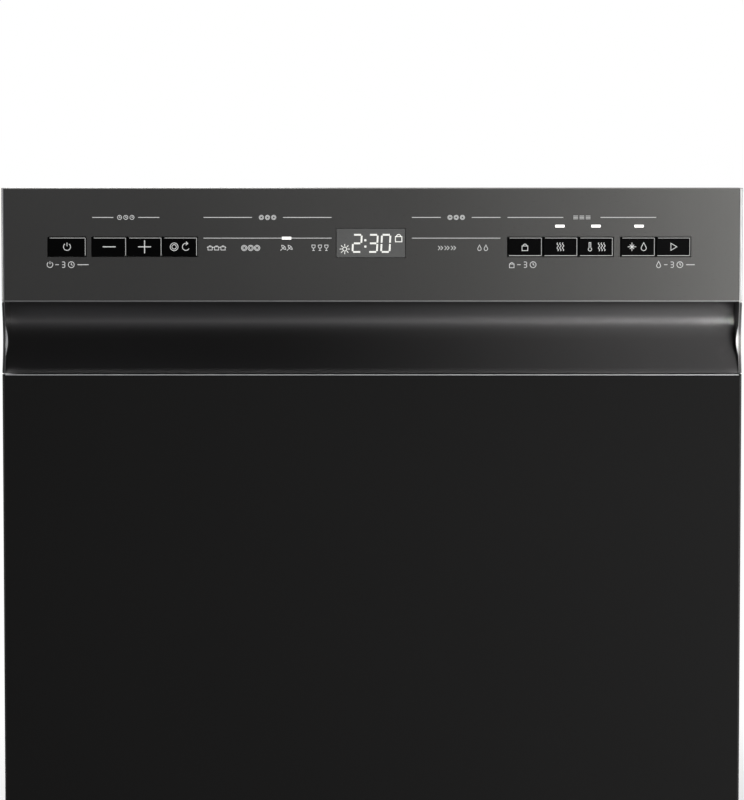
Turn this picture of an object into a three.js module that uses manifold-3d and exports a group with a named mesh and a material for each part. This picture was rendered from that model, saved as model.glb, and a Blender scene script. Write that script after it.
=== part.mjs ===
// A built-in dishwasher of the 600 mm (24 inch) class: front controls, a full-width pocket handle, drop-down
// door, two pull-out racks, spray arms, and the pumps and valves in the base tray.
// Millimetres. X runs to the right as seen from the front, Y to the back and Z up.
// The origin is on the floor, under the centre of the machine.
import * as THREE from "three";
import { mergeVertices } from "three/addons/utils/BufferGeometryUtils.js";
import Module from "manifold-3d";

// ---------- Driving dimensions ----------
const WIDTH = 598; // across the door front
const DEPTH = 620; // door front to the blanket's back
const HEIGHT = 852; // floor to the door's top edge, feet screwed in

// Door
const DOOR_BOTTOM = 118; // lower edge of the door above the floor
const DOOR_THICKNESS = 58; // front face to the inner liner's face
const FASCIA_HEIGHT = 91.5;
const FASCIA_WALL = 2.5;
const FASCIA_DEPTH = 43;
const POCKET_HEIGHT = 59; // visible height of the handle recess
const POCKET_DEPTH = 40;
const POCKET_WALL = 2;
const POCKET_RADIUS = 22; // the concave bend at the back of the recess
const POCKET_RAMP = 40; // slope of the recess's lower part, degrees
const POCKET_CURL = 138; // where the bend ends, past its upright point at 90 degrees
const POCKET_START = 2; // the ramp begins this far behind the front face
const POCKET_SCOOP = 7; // how far the end walls' front edges curve back
const LIP_DEPTH = 12; // the grip lip under the fascia
const GRIP_HEIGHT = 23.5; // finger room behind the lip
const RIM_GAP = 1.5; // top of the recess to the panel above it
const SKIN = 1; // sheet steel of the door and its liner
const PANEL_RETURN = 40; // depth of the outer panel's folded edges
const PART_GAP = 0.8; // joint line between neighbouring front pieces
const LINER_BASE = 44; // depth at which the liner's flange lies
const LINER_SIDE_INSET = 2.5;
const LINER_HINGE_GAP = 3; // raised part of the liner to the hinge arms
const HINGE_SETBACK = 48; // hinge axis behind the front face
const HINGE_RISE = 12; // hinge axis above the door's lower edge

// Buttons and display
const BUTTON_WIDTH = 28;
const POWER_WIDTH = 30.8;
const BUTTON_PITCH = 28.6;
const BUTTON_HEIGHT = 15.6;
const BUTTON_CAP = 6; // depth of a cap
const BUTTON_SINK = 0.3; // cap face behind the fascia's face
const BUTTON_TRAVEL = 1.5;
const BUTTON_GAP = 0.45; // cap to opening
const BUTTON_DROP = 47.4; // button centres below the door top
const STEM = 4;
const DISPLAY = { width: 55.4, height: 23.2, thick: 2, drop: 44.3 };
const DISPLAY_SHIFT = -1; // display centre beside the door's middle line
const LEFT_GROUPS = [
  { inset: 37.5, names: ["power"], width: POWER_WIDTH },
  { inset: 72.9, names: ["delay_minus", "delay_plus", "cycles"] },
];
const RIGHT_GROUPS = [
  { inset: 189.6, names: ["control_lock", "heated_dry", "high_temperature"] },
  { inset: 98.5, names: ["sanitize", "start"] },
];

// Tub and chassis
const TUB_WALL = 1;
const TUB_SIDE_GAP = 19; // door edge to the tub's outside
const TUB_TOP_GAP = 12;
const TUB_FLANGE = 3; // how far the front flange stands out from the tub's side
const SEAL_GAP = 7; // liner face to the tub's front flange
const GASKET_WIDTH = 7.4;
const GASKET_SQUEEZE = 0.7; // gasket lip to the liner
const BLANKET = 9.4;
const BLANKET_TOP_GAP = 5;
const BLANKET_SETBACK = 42; // blanket's front edge behind the tub's flange
const BASE_FLOOR = 38; // underside of the base tray above the floor
const BASE_WALL = 4;
const BASE_SETBACK = 9;
const BASE_OVERHANG = 2.4; // base tray beyond the tub's side
const POST = { inset: 2, web: 30, width: 14, steel: 1.5 };
const HINGE_CUT = { low: 40, high: 85 }; // the posts are open this far below and above the hinge axis
const TAB = { inset: 100, width: 36, overhang: 17, tail: 10, hole: 2.6 };
const TOE_KICK = { bottom: 12, top: 112, steel: 1.5, inset: 4, lip: 3.4, setback: 70 };
const FOOT = { pad: 18, padHeight: 8, rod: 5, rodTop: 96, fit: 0.5, inset: 49, front: 40, back: 30 };

// Water parts
const SUMP = { radius: 125, wall: 3, bottom: 66, rim: 7, post: 13, pin: 6, cap: 11 };
const FLOOR_OPENING = 118; // radius of the hole in the tub floor
const FILTER_CUP = { radius: 38.5, wall: 4, bottom: 78, top: 148, forward: 64, fit: 1.5 };
const ARM = { wall: 45, thick: 10, width: 46, hub: 16, fit: 0.5, lift: 18 };
const HEATER = { radius: 175, tube: 4, lift: 10, gapDegrees: 12, leg: 26 };
const FLOAT = { radius: 22, height: 26, stem: 4, side: 75, front: 80 };
const CONDUIT = { width: 40, depth: 13, port: 8 };

// Racks
const WHEEL = { radius: 22, width: 10, bore: 4.4, axle: 4 };
const WIRE = 4;
const WELD = 1; // how far crossing wires sink into each other
const RACK_FRONT_GAP = 17; // tub flange to a rack's front
const RACK_BACK_GAP = 38;
const RACK_SIDE_GAP = 40; // tub outside to a rack's side
const LOWER_RACK = { floorLift: 38, height: 134 };
const UPPER_RACK = { floor: 432, height: 128 };
const RACK_WIRES = { across: 7, along: 8 };
const RAIL = { z: 500, height: 26, depth: 11.5, steel: 1.5, fit: 1, backGap: 8.2 };
const BASKET = { width: 236, depth: 74, height: 126, wall: 2, cells: 3 };

// Running clearance between pieces that touch
const TOUCH = 0.4;

// ---------- Places worked out from them ----------
const HALF = WIDTH / 2;
const FRONT = -DEPTH / 2;
const BACK = DEPTH / 2;
const DOOR_TOP = HEIGHT;
const FASCIA_BOTTOM = DOOR_TOP - FASCIA_HEIGHT;
const PANEL_TOP = FASCIA_BOTTOM - POCKET_HEIGHT;
const LINER_FACE = FRONT + DOOR_THICKNESS;
const HINGE_Y = FRONT + HINGE_SETBACK;
const HINGE_Z = DOOR_BOTTOM + HINGE_RISE;
const TUB_HALF = HALF - TUB_SIDE_GAP;
const TUB_FRONT = LINER_FACE + SEAL_GAP;
const TUB_BACK = BACK - BLANKET - TOUCH;
const TUB_TOP = HEIGHT - TUB_TOP_GAP;
const TUB_FLOOR = HINGE_Z + DOOR_THICKNESS - HINGE_SETBACK; // level with the liner of the open door
const TUB_CENTRE = (TUB_FRONT + TUB_BACK) / 2;
const ARM_RADIUS = Math.min(TUB_HALF, (TUB_BACK - TUB_FRONT) / 2) - ARM.wall;
const RACK_HALF = TUB_HALF - RACK_SIDE_GAP;
const RACK_FRONT = TUB_FRONT + RACK_FRONT_GAP;
const RACK_BACK = TUB_BACK - RACK_BACK_GAP;
const BASE_TOP = TUB_FLOOR - TUB_WALL - TOUCH;
const BASE_HALF = TUB_HALF + BASE_OVERHANG;
const POST_OUT = HALF - POST.inset;
const HINGE_PLATE = { from: BASE_HALF + 1.6, thick: 3 };

// ---------- Materials ----------
const paint = (color, roughness, metalness) =>
  new THREE.MeshStandardMaterial({ color, roughness, metalness });
const material = {
  blackSteel: paint(0x1f1e1c, 0.35, 0.8),
  fascia: paint(0x4a4947, 0.35, 0.7),
  pocket: paint(0x1d1c1b, 0.3, 0.4),
  buttonBlack: paint(0x060606, 0.2, 0),
  display: paint(0x5e5e5c, 0.15, 0),
  stainless: paint(0xb9bbbd, 0.3, 1),
  galvanised: paint(0x9a9ea1, 0.45, 0.9),
  greyPlastic: paint(0x8d9196, 0.55, 0),
  darkPlastic: paint(0x26282a, 0.6, 0),
  whitePlastic: paint(0xd8d9d6, 0.5, 0),
  rubber: paint(0x3a3c3e, 0.85, 0),
  blanket: paint(0x2b2a29, 0.95, 0),
  rackWire: paint(0x8f949a, 0.45, 0.1),
  heater: paint(0x4c4a48, 0.4, 0.8),
};

// ---------- Solid modelling helpers ----------
const wasm = await Module();
wasm.setup();

// A closed three.js geometry as a solid that can be joined and cut.
function solid(geometry) {
  const bare = geometry.index ? geometry.toNonIndexed() : geometry.clone();
  bare.deleteAttribute("normal");
  bare.deleteAttribute("uv");
  const merged = mergeVertices(bare, 1e-4);
  const triVerts = new Uint32Array(merged.index.array);
  return new wasm.Manifold(
    new wasm.Mesh({ numProp: 3, vertProperties: merged.attributes.position.array, triVerts }),
  );
}

// A block between a low and a high value on each axis.
function block([x0, x1], [y0, y1], [z0, z1]) {
  const box = new THREE.BoxGeometry(x1 - x0, y1 - y0, z1 - z0);
  return solid(box.translate((x0 + x1) / 2, (y0 + y1) / 2, (z0 + z1) / 2));
}

const TURN = {
  x: new THREE.Matrix4().makeBasis(
    new THREE.Vector3(0, 1, 0),
    new THREE.Vector3(0, 0, 1),
    new THREE.Vector3(1, 0, 0),
  ),
  y: new THREE.Matrix4().makeBasis(
    new THREE.Vector3(1, 0, 0),
    new THREE.Vector3(0, 0, 1),
    new THREE.Vector3(0, -1, 0),
  ),
  z: new THREE.Matrix4(),
};

// An outline pushed along an axis: [y, z] points along x, [x, z] points along y, [x, y] points along z.
function prism(axis, points, from, to) {
  const shape = new THREE.Shape(points.map(([a, b]) => new THREE.Vector2(a, b)));
  const pushed = new THREE.ExtrudeGeometry(shape, { depth: to - from, bevelEnabled: false });
  pushed.applyMatrix4(TURN[axis]);
  const shift = { x: [from, 0, 0], y: [0, to, 0], z: [0, 0, from] }[axis];
  return solid(pushed.translate(...shift));
}

// A round bar along an axis, centred on the two other coordinates in X, Y, Z order.
function bar(axis, [a, b], radius, from, to, sides = 24) {
  const turned = new THREE.CylinderGeometry(radius, radius, to - from, sides);
  const middle = (from + to) / 2;
  if (axis === "x") turned.rotateZ(Math.PI / 2).translate(middle, a, b);
  if (axis === "y") turned.translate(a, middle, b);
  if (axis === "z") turned.rotateX(Math.PI / 2).translate(a, b, middle);
  return solid(turned);
}

// A profile of [radius, z] points turned about Z.
function turned(profile, sides = 32) {
  const lathe = new THREE.LatheGeometry(
    profile.map(([r, z]) => new THREE.Vector2(r, z)),
    sides,
  );
  return solid(lathe.rotateX(Math.PI / 2));
}

const join = (...solids) => solids.reduce((all, one) => all.add(one));
const cut = (from, ...tools) => tools.reduce((left, tool) => left.subtract(tool), from);
const mirrored = (range) => [-range[1], -range[0]];
const sided = (side, range) => (side > 0 ? range : mirrored(range));

function geometryOf(made) {
  const { vertProperties, triVerts } = made.getMesh();
  const geometry = new THREE.BufferGeometry();
  geometry.setAttribute("position", new THREE.BufferAttribute(vertProperties, 3));
  geometry.setIndex(new THREE.BufferAttribute(triVerts, 1));
  const faceted = geometry.toNonIndexed();
  faceted.computeVertexNormals();
  return faceted;
}

// Adds a piece modelled in the machine's frame to a group, keeping it where it was modelled.
function addPlaced(group, name, made, finish) {
  const offset = group.getWorldPosition(new THREE.Vector3()).negate();
  const mesh = new THREE.Mesh(geometryOf(made).translate(offset.x, offset.y, offset.z), finish);
  mesh.name = name;
  group.add(mesh);
}

// Adds a piece modelled about its own origin at a place in the machine's frame.
function addAt(group, name, made, finish, [x, y, z]) {
  const mesh = new THREE.Mesh(geometryOf(made), finish);
  mesh.name = name;
  mesh.position.set(x, y, z).sub(group.getWorldPosition(new THREE.Vector3()));
  group.add(mesh);
}

const machine = new THREE.Group();
const door = new THREE.Group();
door.position.set(0, HINGE_Y, HINGE_Z);
const lowerRack = new THREE.Group();
const upperRack = new THREE.Group();
machine.add(door, lowerRack, upperRack);

// Depth behind the front face, as a Y coordinate.
const at = (depth) => FRONT + depth;

// ---------- Control panel, buttons and display ----------
function groupPlaces() {
  const left = LEFT_GROUPS.map(({ inset, ...group }) => ({ start: -HALF + inset, ...group }));
  const right = RIGHT_GROUPS.map(({ inset, ...group }) => ({ start: HALF - inset, ...group }));
  return [...left, ...right];
}

function controlPanel() {
  const z = (height) => FASCIA_BOTTOM + height;
  const w = FASCIA_WALL;
  const shelf = GRIP_HEIGHT;
  const outer = [
    [at(0), z(0)],
    [at(LIP_DEPTH), z(0)],
    [at(LIP_DEPTH), z(shelf)],
    [at(FASCIA_DEPTH), z(shelf)],
  ];
  const shell = [
    ...outer,
    [at(FASCIA_DEPTH), z(shelf + w)],
    [at(LIP_DEPTH - w), z(shelf + w)],
    [at(LIP_DEPTH - w), z(w)],
    [at(w), z(w)],
    [at(w), DOOR_TOP - w],
    [at(FASCIA_DEPTH), DOOR_TOP - w],
    [at(FASCIA_DEPTH), DOOR_TOP],
    [at(0), DOOR_TOP],
  ];
  const end = [...outer, [at(FASCIA_DEPTH), DOOR_TOP], [at(0), DOOR_TOP]];
  const buttonZ = DOOR_TOP - BUTTON_DROP;
  const openings = groupPlaces().map(({ start, names, width = BUTTON_WIDTH }) =>
    block(
      [start - BUTTON_GAP, start + (names.length - 1) * BUTTON_PITCH + width + BUTTON_GAP],
      [at(-1), at(w + 1)],
      [buttonZ - BUTTON_HEIGHT / 2 - BUTTON_GAP, buttonZ + BUTTON_HEIGHT / 2 + BUTTON_GAP],
    ),
  );
  const displayZ = DOOR_TOP - DISPLAY.drop;
  const window = block(
    [DISPLAY_SHIFT - DISPLAY.width / 2 - TOUCH, DISPLAY_SHIFT + DISPLAY.width / 2 + TOUCH],
    [at(-1), at(w + 1)],
    [displayZ - DISPLAY.height / 2 - TOUCH, displayZ + DISPLAY.height / 2 + TOUCH],
  );
  return cut(
    join(
      prism("x", shell, -HALF + w, HALF - w),
      prism("x", end, -HALF, -HALF + w),
      prism("x", end, HALF - w, HALF),
    ),
    ...openings,
    window,
  );
}

const MODULE = { front: 17, back: 40, top: 30, side: 24 };

function button(width) {
  const capBack = BUTTON_SINK + BUTTON_CAP;
  const stemEnd = MODULE.front - BUTTON_TRAVEL - TOUCH;
  const half = STEM / 2;
  return join(
    block([0, width], [BUTTON_SINK, capBack], [-BUTTON_HEIGHT / 2, BUTTON_HEIGHT / 2]),
    block([width / 2 - half, width / 2 + half], [capBack - WELD, stemEnd], [-half, half]),
  );
}

function addButtons() {
  for (const { start, names, width = BUTTON_WIDTH } of groupPlaces())
    names.forEach((name, i) =>
      addAt(door, `button_${name}`, button(width), material.buttonBlack, [
        start + i * BUTTON_PITCH,
        FRONT,
        DOOR_TOP - BUTTON_DROP,
      ]),
    );
}

function controlModule() {
  const shelfTop = FASCIA_BOTTOM + GRIP_HEIGHT + FASCIA_WALL;
  return block(
    [-HALF + MODULE.side, HALF - MODULE.side],
    [at(MODULE.front), at(MODULE.back)],
    [shelfTop + 2, DOOR_TOP - MODULE.top],
  );
}

function displayWindow() {
  const z = DOOR_TOP - DISPLAY.drop;
  return block(
    [DISPLAY_SHIFT - DISPLAY.width / 2, DISPLAY_SHIFT + DISPLAY.width / 2],
    [at(0.1), at(DISPLAY.thick)],
    [z - DISPLAY.height / 2, z + DISPLAY.height / 2],
  );
}

// ---------- Handle pocket ----------
// The recess's section at an offset behind its visible face: a ramp, a concave bend that curls forward under
// the grip lip, and an upright behind the finger room.
function pocketSection(offset) {
  const ramp = THREE.MathUtils.degToRad(POCKET_RAMP);
  const curl = THREE.MathUtils.degToRad(POCKET_CURL);
  const radius = POCKET_RADIUS + offset;
  const start = { d: POCKET_START + offset / Math.sin(ramp), z: PART_GAP };
  const centre = { d: POCKET_DEPTH - POCKET_RADIUS };
  const run = centre.d + radius * Math.sin(ramp) - start.d;
  centre.z = start.z + run * Math.tan(ramp) + radius * Math.cos(ramp);
  const steps = 12;
  const bend = Array.from({ length: steps + 1 }, (_, i) => {
    const angle = ramp + ((curl - ramp) * i) / steps;
    return [at(centre.d + radius * Math.sin(angle)), PANEL_TOP + centre.z - radius * Math.cos(angle)];
  });
  const upright = [bend[steps][0], FASCIA_BOTTOM + GRIP_HEIGHT - RIM_GAP];
  return [[at(start.d), PANEL_TOP + start.z], ...bend, upright];
}

function handlePocket() {
  const liner = [...pocketSection(0), ...pocketSection(POCKET_WALL).reverse()];
  const low = PANEL_TOP + PART_GAP;
  const high = FASCIA_BOTTOM - PART_GAP;
  const steps = 8;
  const scoop = Array.from({ length: steps + 1 }, (_, i) => {
    const share = i / steps;
    return [at(POCKET_SCOOP * Math.sin(Math.PI * share)), high + (low - high) * share];
  });
  const behindLip = at(LIP_DEPTH + PART_GAP);
  const rim = FASCIA_BOTTOM + GRIP_HEIGHT - RIM_GAP;
  const ramp = pocketSection(POCKET_WALL);
  const end = [...scoop, ...ramp, [behindLip, rim], [behindLip, high]];
  const moved = ([y, z], i) => i === 0 || Math.hypot(y - end[i - 1][0], z - end[i - 1][1]) > 0.01;
  const unique = end.filter(moved);
  const inner = HALF - FASCIA_WALL;
  return join(
    prism("x", liner, -inner, inner),
    prism("x", unique, -HALF, -inner),
    prism("x", unique, inner, HALF),
  );
}

// ---------- Door shell ----------
function doorPanel() {
  return cut(
    block([-HALF, HALF], [at(0), at(PANEL_RETURN)], [DOOR_BOTTOM, PANEL_TOP]),
    block(
      [-HALF + SKIN, HALF - SKIN],
      [at(SKIN), at(PANEL_RETURN + 1)],
      [DOOR_BOTTOM + SKIN, PANEL_TOP - SKIN],
    ),
  );
}

function doorPad() {
  const gap = 30;
  return block([-HALF + gap, HALF - gap], [at(6), at(30)], [DOOR_BOTTOM + 60, PANEL_TOP - 20]);
}

const DISPENSER = { x: -20, z: 470, half: 91, tall: 61, flange: 7, depth: 38, cup: 86, cupTall: 42 };
const VENT = { inset: 100, z: 330, radius: 36, neck: 29, depth: 46, thick: 4 };
const STRIKE = { half: 6, low: 3, high: 6, reach: 30, slotHalf: 10 };

function doorLiner() {
  const raisedHalf = HINGE_PLATE.from - LINER_HINGE_GAP;
  const raisedLow = DOOR_BOTTOM + 16;
  const raisedHigh = TUB_TOP - 4;
  const flange = [DOOR_BOTTOM + 4, DOOR_TOP - 2];
  const wide = HALF - LINER_SIDE_INSET;
  const plate = block([-wide, wide], [at(LINER_BASE), at(LINER_BASE + SKIN)], flange);
  const raised = block([-raisedHalf, raisedHalf], [at(LINER_BASE), LINER_FACE], [raisedLow, raisedHigh]);
  const hollow = block(
    [-raisedHalf + SKIN, raisedHalf - SKIN],
    [at(LINER_BASE - 1), LINER_FACE - SKIN],
    [raisedLow + SKIN, raisedHigh - SKIN],
  );
  const through = [at(LINER_BASE - 2), LINER_FACE + 2];
  const notches = [-1, 1].map((side) =>
    block(sided(side, [raisedHalf + 1.5, HALF]), through, [DOOR_BOTTOM, HINGE_Z + 24]),
  );
  const dispenser = block(
    [DISPENSER.x - DISPENSER.half - 1, DISPENSER.x + DISPENSER.half + 1],
    through,
    [DISPENSER.z - DISPENSER.tall - 1, DISPENSER.z + DISPENSER.tall + 1],
  );
  const vent = bar("y", [HALF - VENT.inset, VENT.z], VENT.neck + 1, ...through);
  const strikeSlot = block(
    [-STRIKE.slotHalf, STRIKE.slotHalf],
    through,
    [TUB_TOP + STRIKE.low - 2.5, TUB_TOP + STRIKE.high + 2.5],
  );
  return cut(join(plate, raised), hollow, ...notches, dispenser, vent, strikeSlot);
}

function doorLatch() {
  const body = block([-32, 32], [at(20), at(LINER_BASE - TOUCH)], [TUB_TOP - 14, DOOR_TOP - FASCIA_WALL - 1]);
  const slot = block(
    [-STRIKE.half - 2, STRIKE.half + 2],
    [TUB_FRONT - STRIKE.reach - 3, at(LINER_BASE + 1)],
    [TUB_TOP + STRIKE.low - 2, TUB_TOP + STRIKE.high + 2],
  );
  return cut(body, slot);
}

function latchStrike() {
  const foot = block([-15, 15], [TUB_FRONT - 2, TUB_FRONT - TOUCH], [TUB_TOP - 0.5, TUB_TOP + 7.5]);
  const tongue = block(
    [-STRIKE.half, STRIKE.half],
    [TUB_FRONT - STRIKE.reach, TUB_FRONT - 1],
    [TUB_TOP + STRIKE.low, TUB_TOP + STRIKE.high],
  );
  const eye = block(
    [-STRIKE.half + 2.5, STRIKE.half - 2.5],
    [TUB_FRONT - STRIKE.reach + 3, TUB_FRONT - STRIKE.reach + 10],
    [TUB_TOP, TUB_TOP + 10],
  );
  return cut(join(foot, tongue), eye);
}

// ---------- Detergent dispenser and vent on the liner ----------
function dispenserBody() {
  const { x, z, half, tall, flange, depth, cup, cupTall } = DISPENSER;
  const face = LINER_FACE + TOUCH;
  const body = block([x - half, x + half], [at(depth), face + 1], [z - tall, z + tall]);
  const plate = block(
    [x - half - flange, x + half + flange],
    [face, face + 1.6],
    [z - tall - flange, z + tall + flange],
  );
  const cupRoom = block(
    [x - half + 6, x - half + cup],
    [at(depth + 3), face + 3],
    [z - cupTall, z + cupTall],
  );
  const capSeat = bar("y", [x + 50, z], 20, face - 6, face + 3);
  const guides = [x - half + 1, x - half + cup + 6].map((guide) => {
    const post = block([guide - 1, guide + 1], [face + 1, face + 5.6], [z - tall, z + tall]);
    const inward = guide < x ? [guide - 1, guide + 3] : [guide - 3, guide + 1];
    return join(post, block(inward, [face + 4.6, face + 5.6], [z - tall, z + tall]));
  });
  return join(cut(join(body, plate), cupRoom, capSeat), ...guides);
}

function dispenserLid() {
  const { x, z, half, cup, cupTall } = DISPENSER;
  const face = LINER_FACE + TOUCH + 1.6;
  const span = [x - half + 2.5, x - half + cup + 4.5];
  const plate = block(span, [face + 0.4, face + 2.4], [z - cupTall - 4, z + cupTall + 4]);
  const grip = block([span[0] + 16, span[1] - 16], [face + 2, face + 5], [z + cupTall - 8, z + cupTall - 3]);
  return join(plate, grip);
}

// The rinse-aid cap about its own origin, turning about Y.
function rinseCap() {
  return join(
    bar("y", [0, 0], 18.5, -5, 3, 32),
    block([-15, 15], [2, 7], [-2.5, 2.5]),
  );
}

function ventCover() {
  const centre = [HALF - VENT.inset, VENT.z];
  const face = LINER_FACE + TOUCH;
  return join(
    bar("y", centre, VENT.radius, face, face + VENT.thick, 32),
    bar("y", centre, VENT.neck, at(VENT.depth), face + 1, 32),
  );
}

// ---------- Hinges ----------
function hingeArm(side) {
  const plate = sided(side, [HINGE_PLATE.from, HINGE_PLATE.from + HINGE_PLATE.thick]);
  const eyeRadius = 12;
  const leg = block(plate, [at(18), at(40)], [DOOR_BOTTOM + 2, HINGE_Z + 200]);
  const foot = block(plate, [at(30), HINGE_Y], [HINGE_Z - 8, HINGE_Z + 12]);
  const eye = bar("x", [HINGE_Y, HINGE_Z], eyeRadius, ...plate, 32);
  const lug = prism(
    "x",
    [
      [HINGE_Y, HINGE_Z - 6],
      [HINGE_Y + 36, HINGE_Z + 8],
      [HINGE_Y + 36, HINGE_Z + 20],
      [HINGE_Y, HINGE_Z + 12],
    ],
    ...plate,
  );
  const bore = bar("x", [HINGE_Y, HINGE_Z], 5.3, plate[0] - 1, plate[1] + 1, 32);
  const springHole = bar("x", [HINGE_Y + 30, HINGE_Z + 14], 3, plate[0] - 1, plate[1] + 1, 16);
  return cut(join(leg, foot, eye, lug), bore, springHole);
}

function doorSpring(side) {
  const centre = (BASE_HALF + POST_OUT - POST.steel) / 2;
  const x = side * centre;
  const z = HINGE_Z - 30;
  const start = TUB_FRONT + 44;
  const coil = bar("x", [0, 0], 5, -65, 65, 12).rotate([0, 0, 90]).translate([x, start + 75, z]);
  const wire = bar("y", [x, z], 1.2, start, start + 150, 8);
  return join(coil, wire);
}

// ---------- Tub, gasket, blanket and chassis ----------
function heaterEnds() {
  const gap = THREE.MathUtils.degToRad(HEATER.gapDegrees);
  return [-1, 1].map((side) => [
    side * HEATER.radius * Math.sin(gap),
    TUB_CENTRE + HEATER.radius * Math.cos(gap),
  ]);
}

const FLOAT_PLACE = [-TUB_HALF + FLOAT.side, TUB_FRONT + FLOAT.front];

function tub() {
  const shell = block([-TUB_HALF, TUB_HALF], [TUB_FRONT, TUB_BACK], [TUB_FLOOR - TUB_WALL, TUB_TOP]);
  const flange = block(
    [-TUB_HALF - TUB_FLANGE, TUB_HALF + TUB_FLANGE],
    [TUB_FRONT, TUB_FRONT + 1.5],
    [TUB_FLOOR - 10, TUB_TOP + 8],
  );
  const room = block(
    [-TUB_HALF + TUB_WALL, TUB_HALF - TUB_WALL],
    [TUB_FRONT - 1, TUB_BACK - TUB_WALL],
    [TUB_FLOOR, TUB_TOP - TUB_WALL],
  );
  const under = [TUB_FLOOR - 5, TUB_FLOOR + 5];
  const sumpHole = bar("z", [0, TUB_CENTRE], FLOOR_OPENING, ...under, 48);
  const legHoles = heaterEnds().map((place) => bar("z", place, HEATER.tube + 2, ...under, 16));
  const floatHole = bar("z", FLOAT_PLACE, FLOAT.stem + 0.8, ...under, 16);
  return cut(join(shell, flange), room, sumpHole, ...legHoles, floatHole);
}

function tubGasket() {
  const side = TUB_HALF - TUB_WALL - 0.6;
  const top = TUB_TOP - TUB_WALL - 0.6;
  const low = TUB_FLOOR + 2;
  const outline = [
    [-side, low],
    [-side, top],
    [side, top],
    [side, low],
    [side - GASKET_WIDTH, low],
    [side - GASKET_WIDTH, top - GASKET_WIDTH],
    [-side + GASKET_WIDTH, top - GASKET_WIDTH],
    [-side + GASKET_WIDTH, low],
  ].reverse();
  return prism("y", outline, LINER_FACE + GASKET_SQUEEZE, TUB_FRONT + 5);
}

function soundBlanket() {
  const inner = TUB_HALF + TOUCH;
  const front = TUB_FRONT + BLANKET_SETBACK;
  const low = TUB_FLOOR + 5;
  return cut(
    block([-inner - BLANKET, inner + BLANKET], [front, BACK], [low, HEIGHT - BLANKET_TOP_GAP]),
    block([-inner, inner], [front - 1, BACK - BLANKET], [low - 1, TUB_TOP + TOUCH]),
  );
}

// The front frame: two posts, a crossbar over the tub, the hinge brackets and the worktop's screw tabs.
function steelFrame() {
  const { web, width, steel } = POST;
  const back = TUB_FRONT + 1.5 + TOUCH;
  const low = BASE_FLOOR + 2;
  const crossTop = TUB_TOP + 10.5;
  const posts = [-1, 1].map((side) => {
    const sheet = block(sided(side, [POST_OUT - steel, POST_OUT]), [back, back + web], [low, crossTop]);
    const face = block(sided(side, [POST_OUT - width, POST_OUT]), [back, back + steel], [low, crossTop]);
    const cutout = block(
      sided(side, [POST_OUT - width - 1, POST_OUT - steel]),
      [back - 1, back + steel + 1],
      [HINGE_Z - HINGE_CUT.low, HINGE_Z + HINGE_CUT.high],
    );
    return cut(join(sheet, face), cutout);
  });
  const brackets = [-1, 1].map((side) => {
    const near = HINGE_PLATE.from + HINGE_PLATE.thick + 1.5;
    const plate = sided(side, [near, near + 2]);
    const bridge = block(sided(side, [near, POST_OUT]), [back + 4, back + 6], [HINGE_Z - 6, HINGE_Z + 9]);
    const neck = block(plate, [HINGE_Y, back + 6], [HINGE_Z - 6, HINGE_Z + 9]);
    const eye = bar("x", [HINGE_Y, HINGE_Z], 9, ...plate, 24);
    const pin = bar("x", [HINGE_Y, HINGE_Z], 5, ...sided(side, [HINGE_PLATE.from - 0.8, near + 1]), 24);
    return join(bridge, neck, eye, pin);
  });
  const crossbar = block([-POST_OUT, POST_OUT], [back, back + 35], [crossTop - steel, crossTop]);
  const tabs = [-1, 1].map((side) => {
    const span = sided(side, [HALF - TAB.inset - TAB.width, HALF - TAB.inset]);
    const plate = block(span, [back - TAB.overhang, back + TAB.tail], [crossTop - steel, crossTop]);
    const middle = (span[0] + span[1]) / 2;
    const hole = bar("z", [middle, back - TAB.overhang + 8], TAB.hole, crossTop - 5, crossTop + 5, 16);
    return cut(plate, hole);
  });
  return join(...posts, ...brackets, crossbar, ...tabs);
}

function footPlaces() {
  const x = HALF - FOOT.inset;
  return [
    ["foot_front_left", -x, TUB_FRONT + FOOT.front],
    ["foot_front_right", x, TUB_FRONT + FOOT.front],
    ["foot_rear_left", -x, TUB_BACK - FOOT.back],
    ["foot_rear_right", x, TUB_BACK - FOOT.back],
  ];
}

function baseFrame() {
  const front = TUB_FRONT + BASE_SETBACK;
  const tray = block([-BASE_HALF, BASE_HALF], [front, TUB_BACK - 2], [BASE_FLOOR, BASE_TOP]);
  const room = block(
    [-BASE_HALF + BASE_WALL, BASE_HALF - BASE_WALL],
    [front + BASE_WALL, TUB_BACK - 2 - BASE_WALL],
    [BASE_FLOOR + 3, BASE_TOP + 1],
  );
  const bosses = footPlaces().map(([, x, y]) => bar("z", [x, y], 11, BASE_FLOOR, BASE_FLOOR + 24, 16));
  const holes = footPlaces().map(([, x, y]) =>
    bar("z", [x, y], FOOT.rod + FOOT.fit, BASE_FLOOR - 1, BASE_FLOOR + 30, 24),
  );
  return cut(join(cut(tray, room), ...bosses), ...holes);
}

function levellingFoot() {
  return join(
    bar("z", [0, 0], FOOT.pad, 0, FOOT.padHeight, 24),
    bar("z", [0, 0], FOOT.rod, FOOT.padHeight - 1, FOOT.rodTop, 16),
  );
}

function toeKick() {
  const { bottom, top, steel, inset, lip, setback } = TOE_KICK;
  const face = at(setback);
  const half = HALF - inset;
  return join(
    block([-half, half], [face, face + steel], [bottom, top]),
    block([-half, half], [face, face + lip], [top - steel, top]),
    block([-half, half], [face, face + lip + 8], [bottom, bottom + steel]),
  );
}

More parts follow.
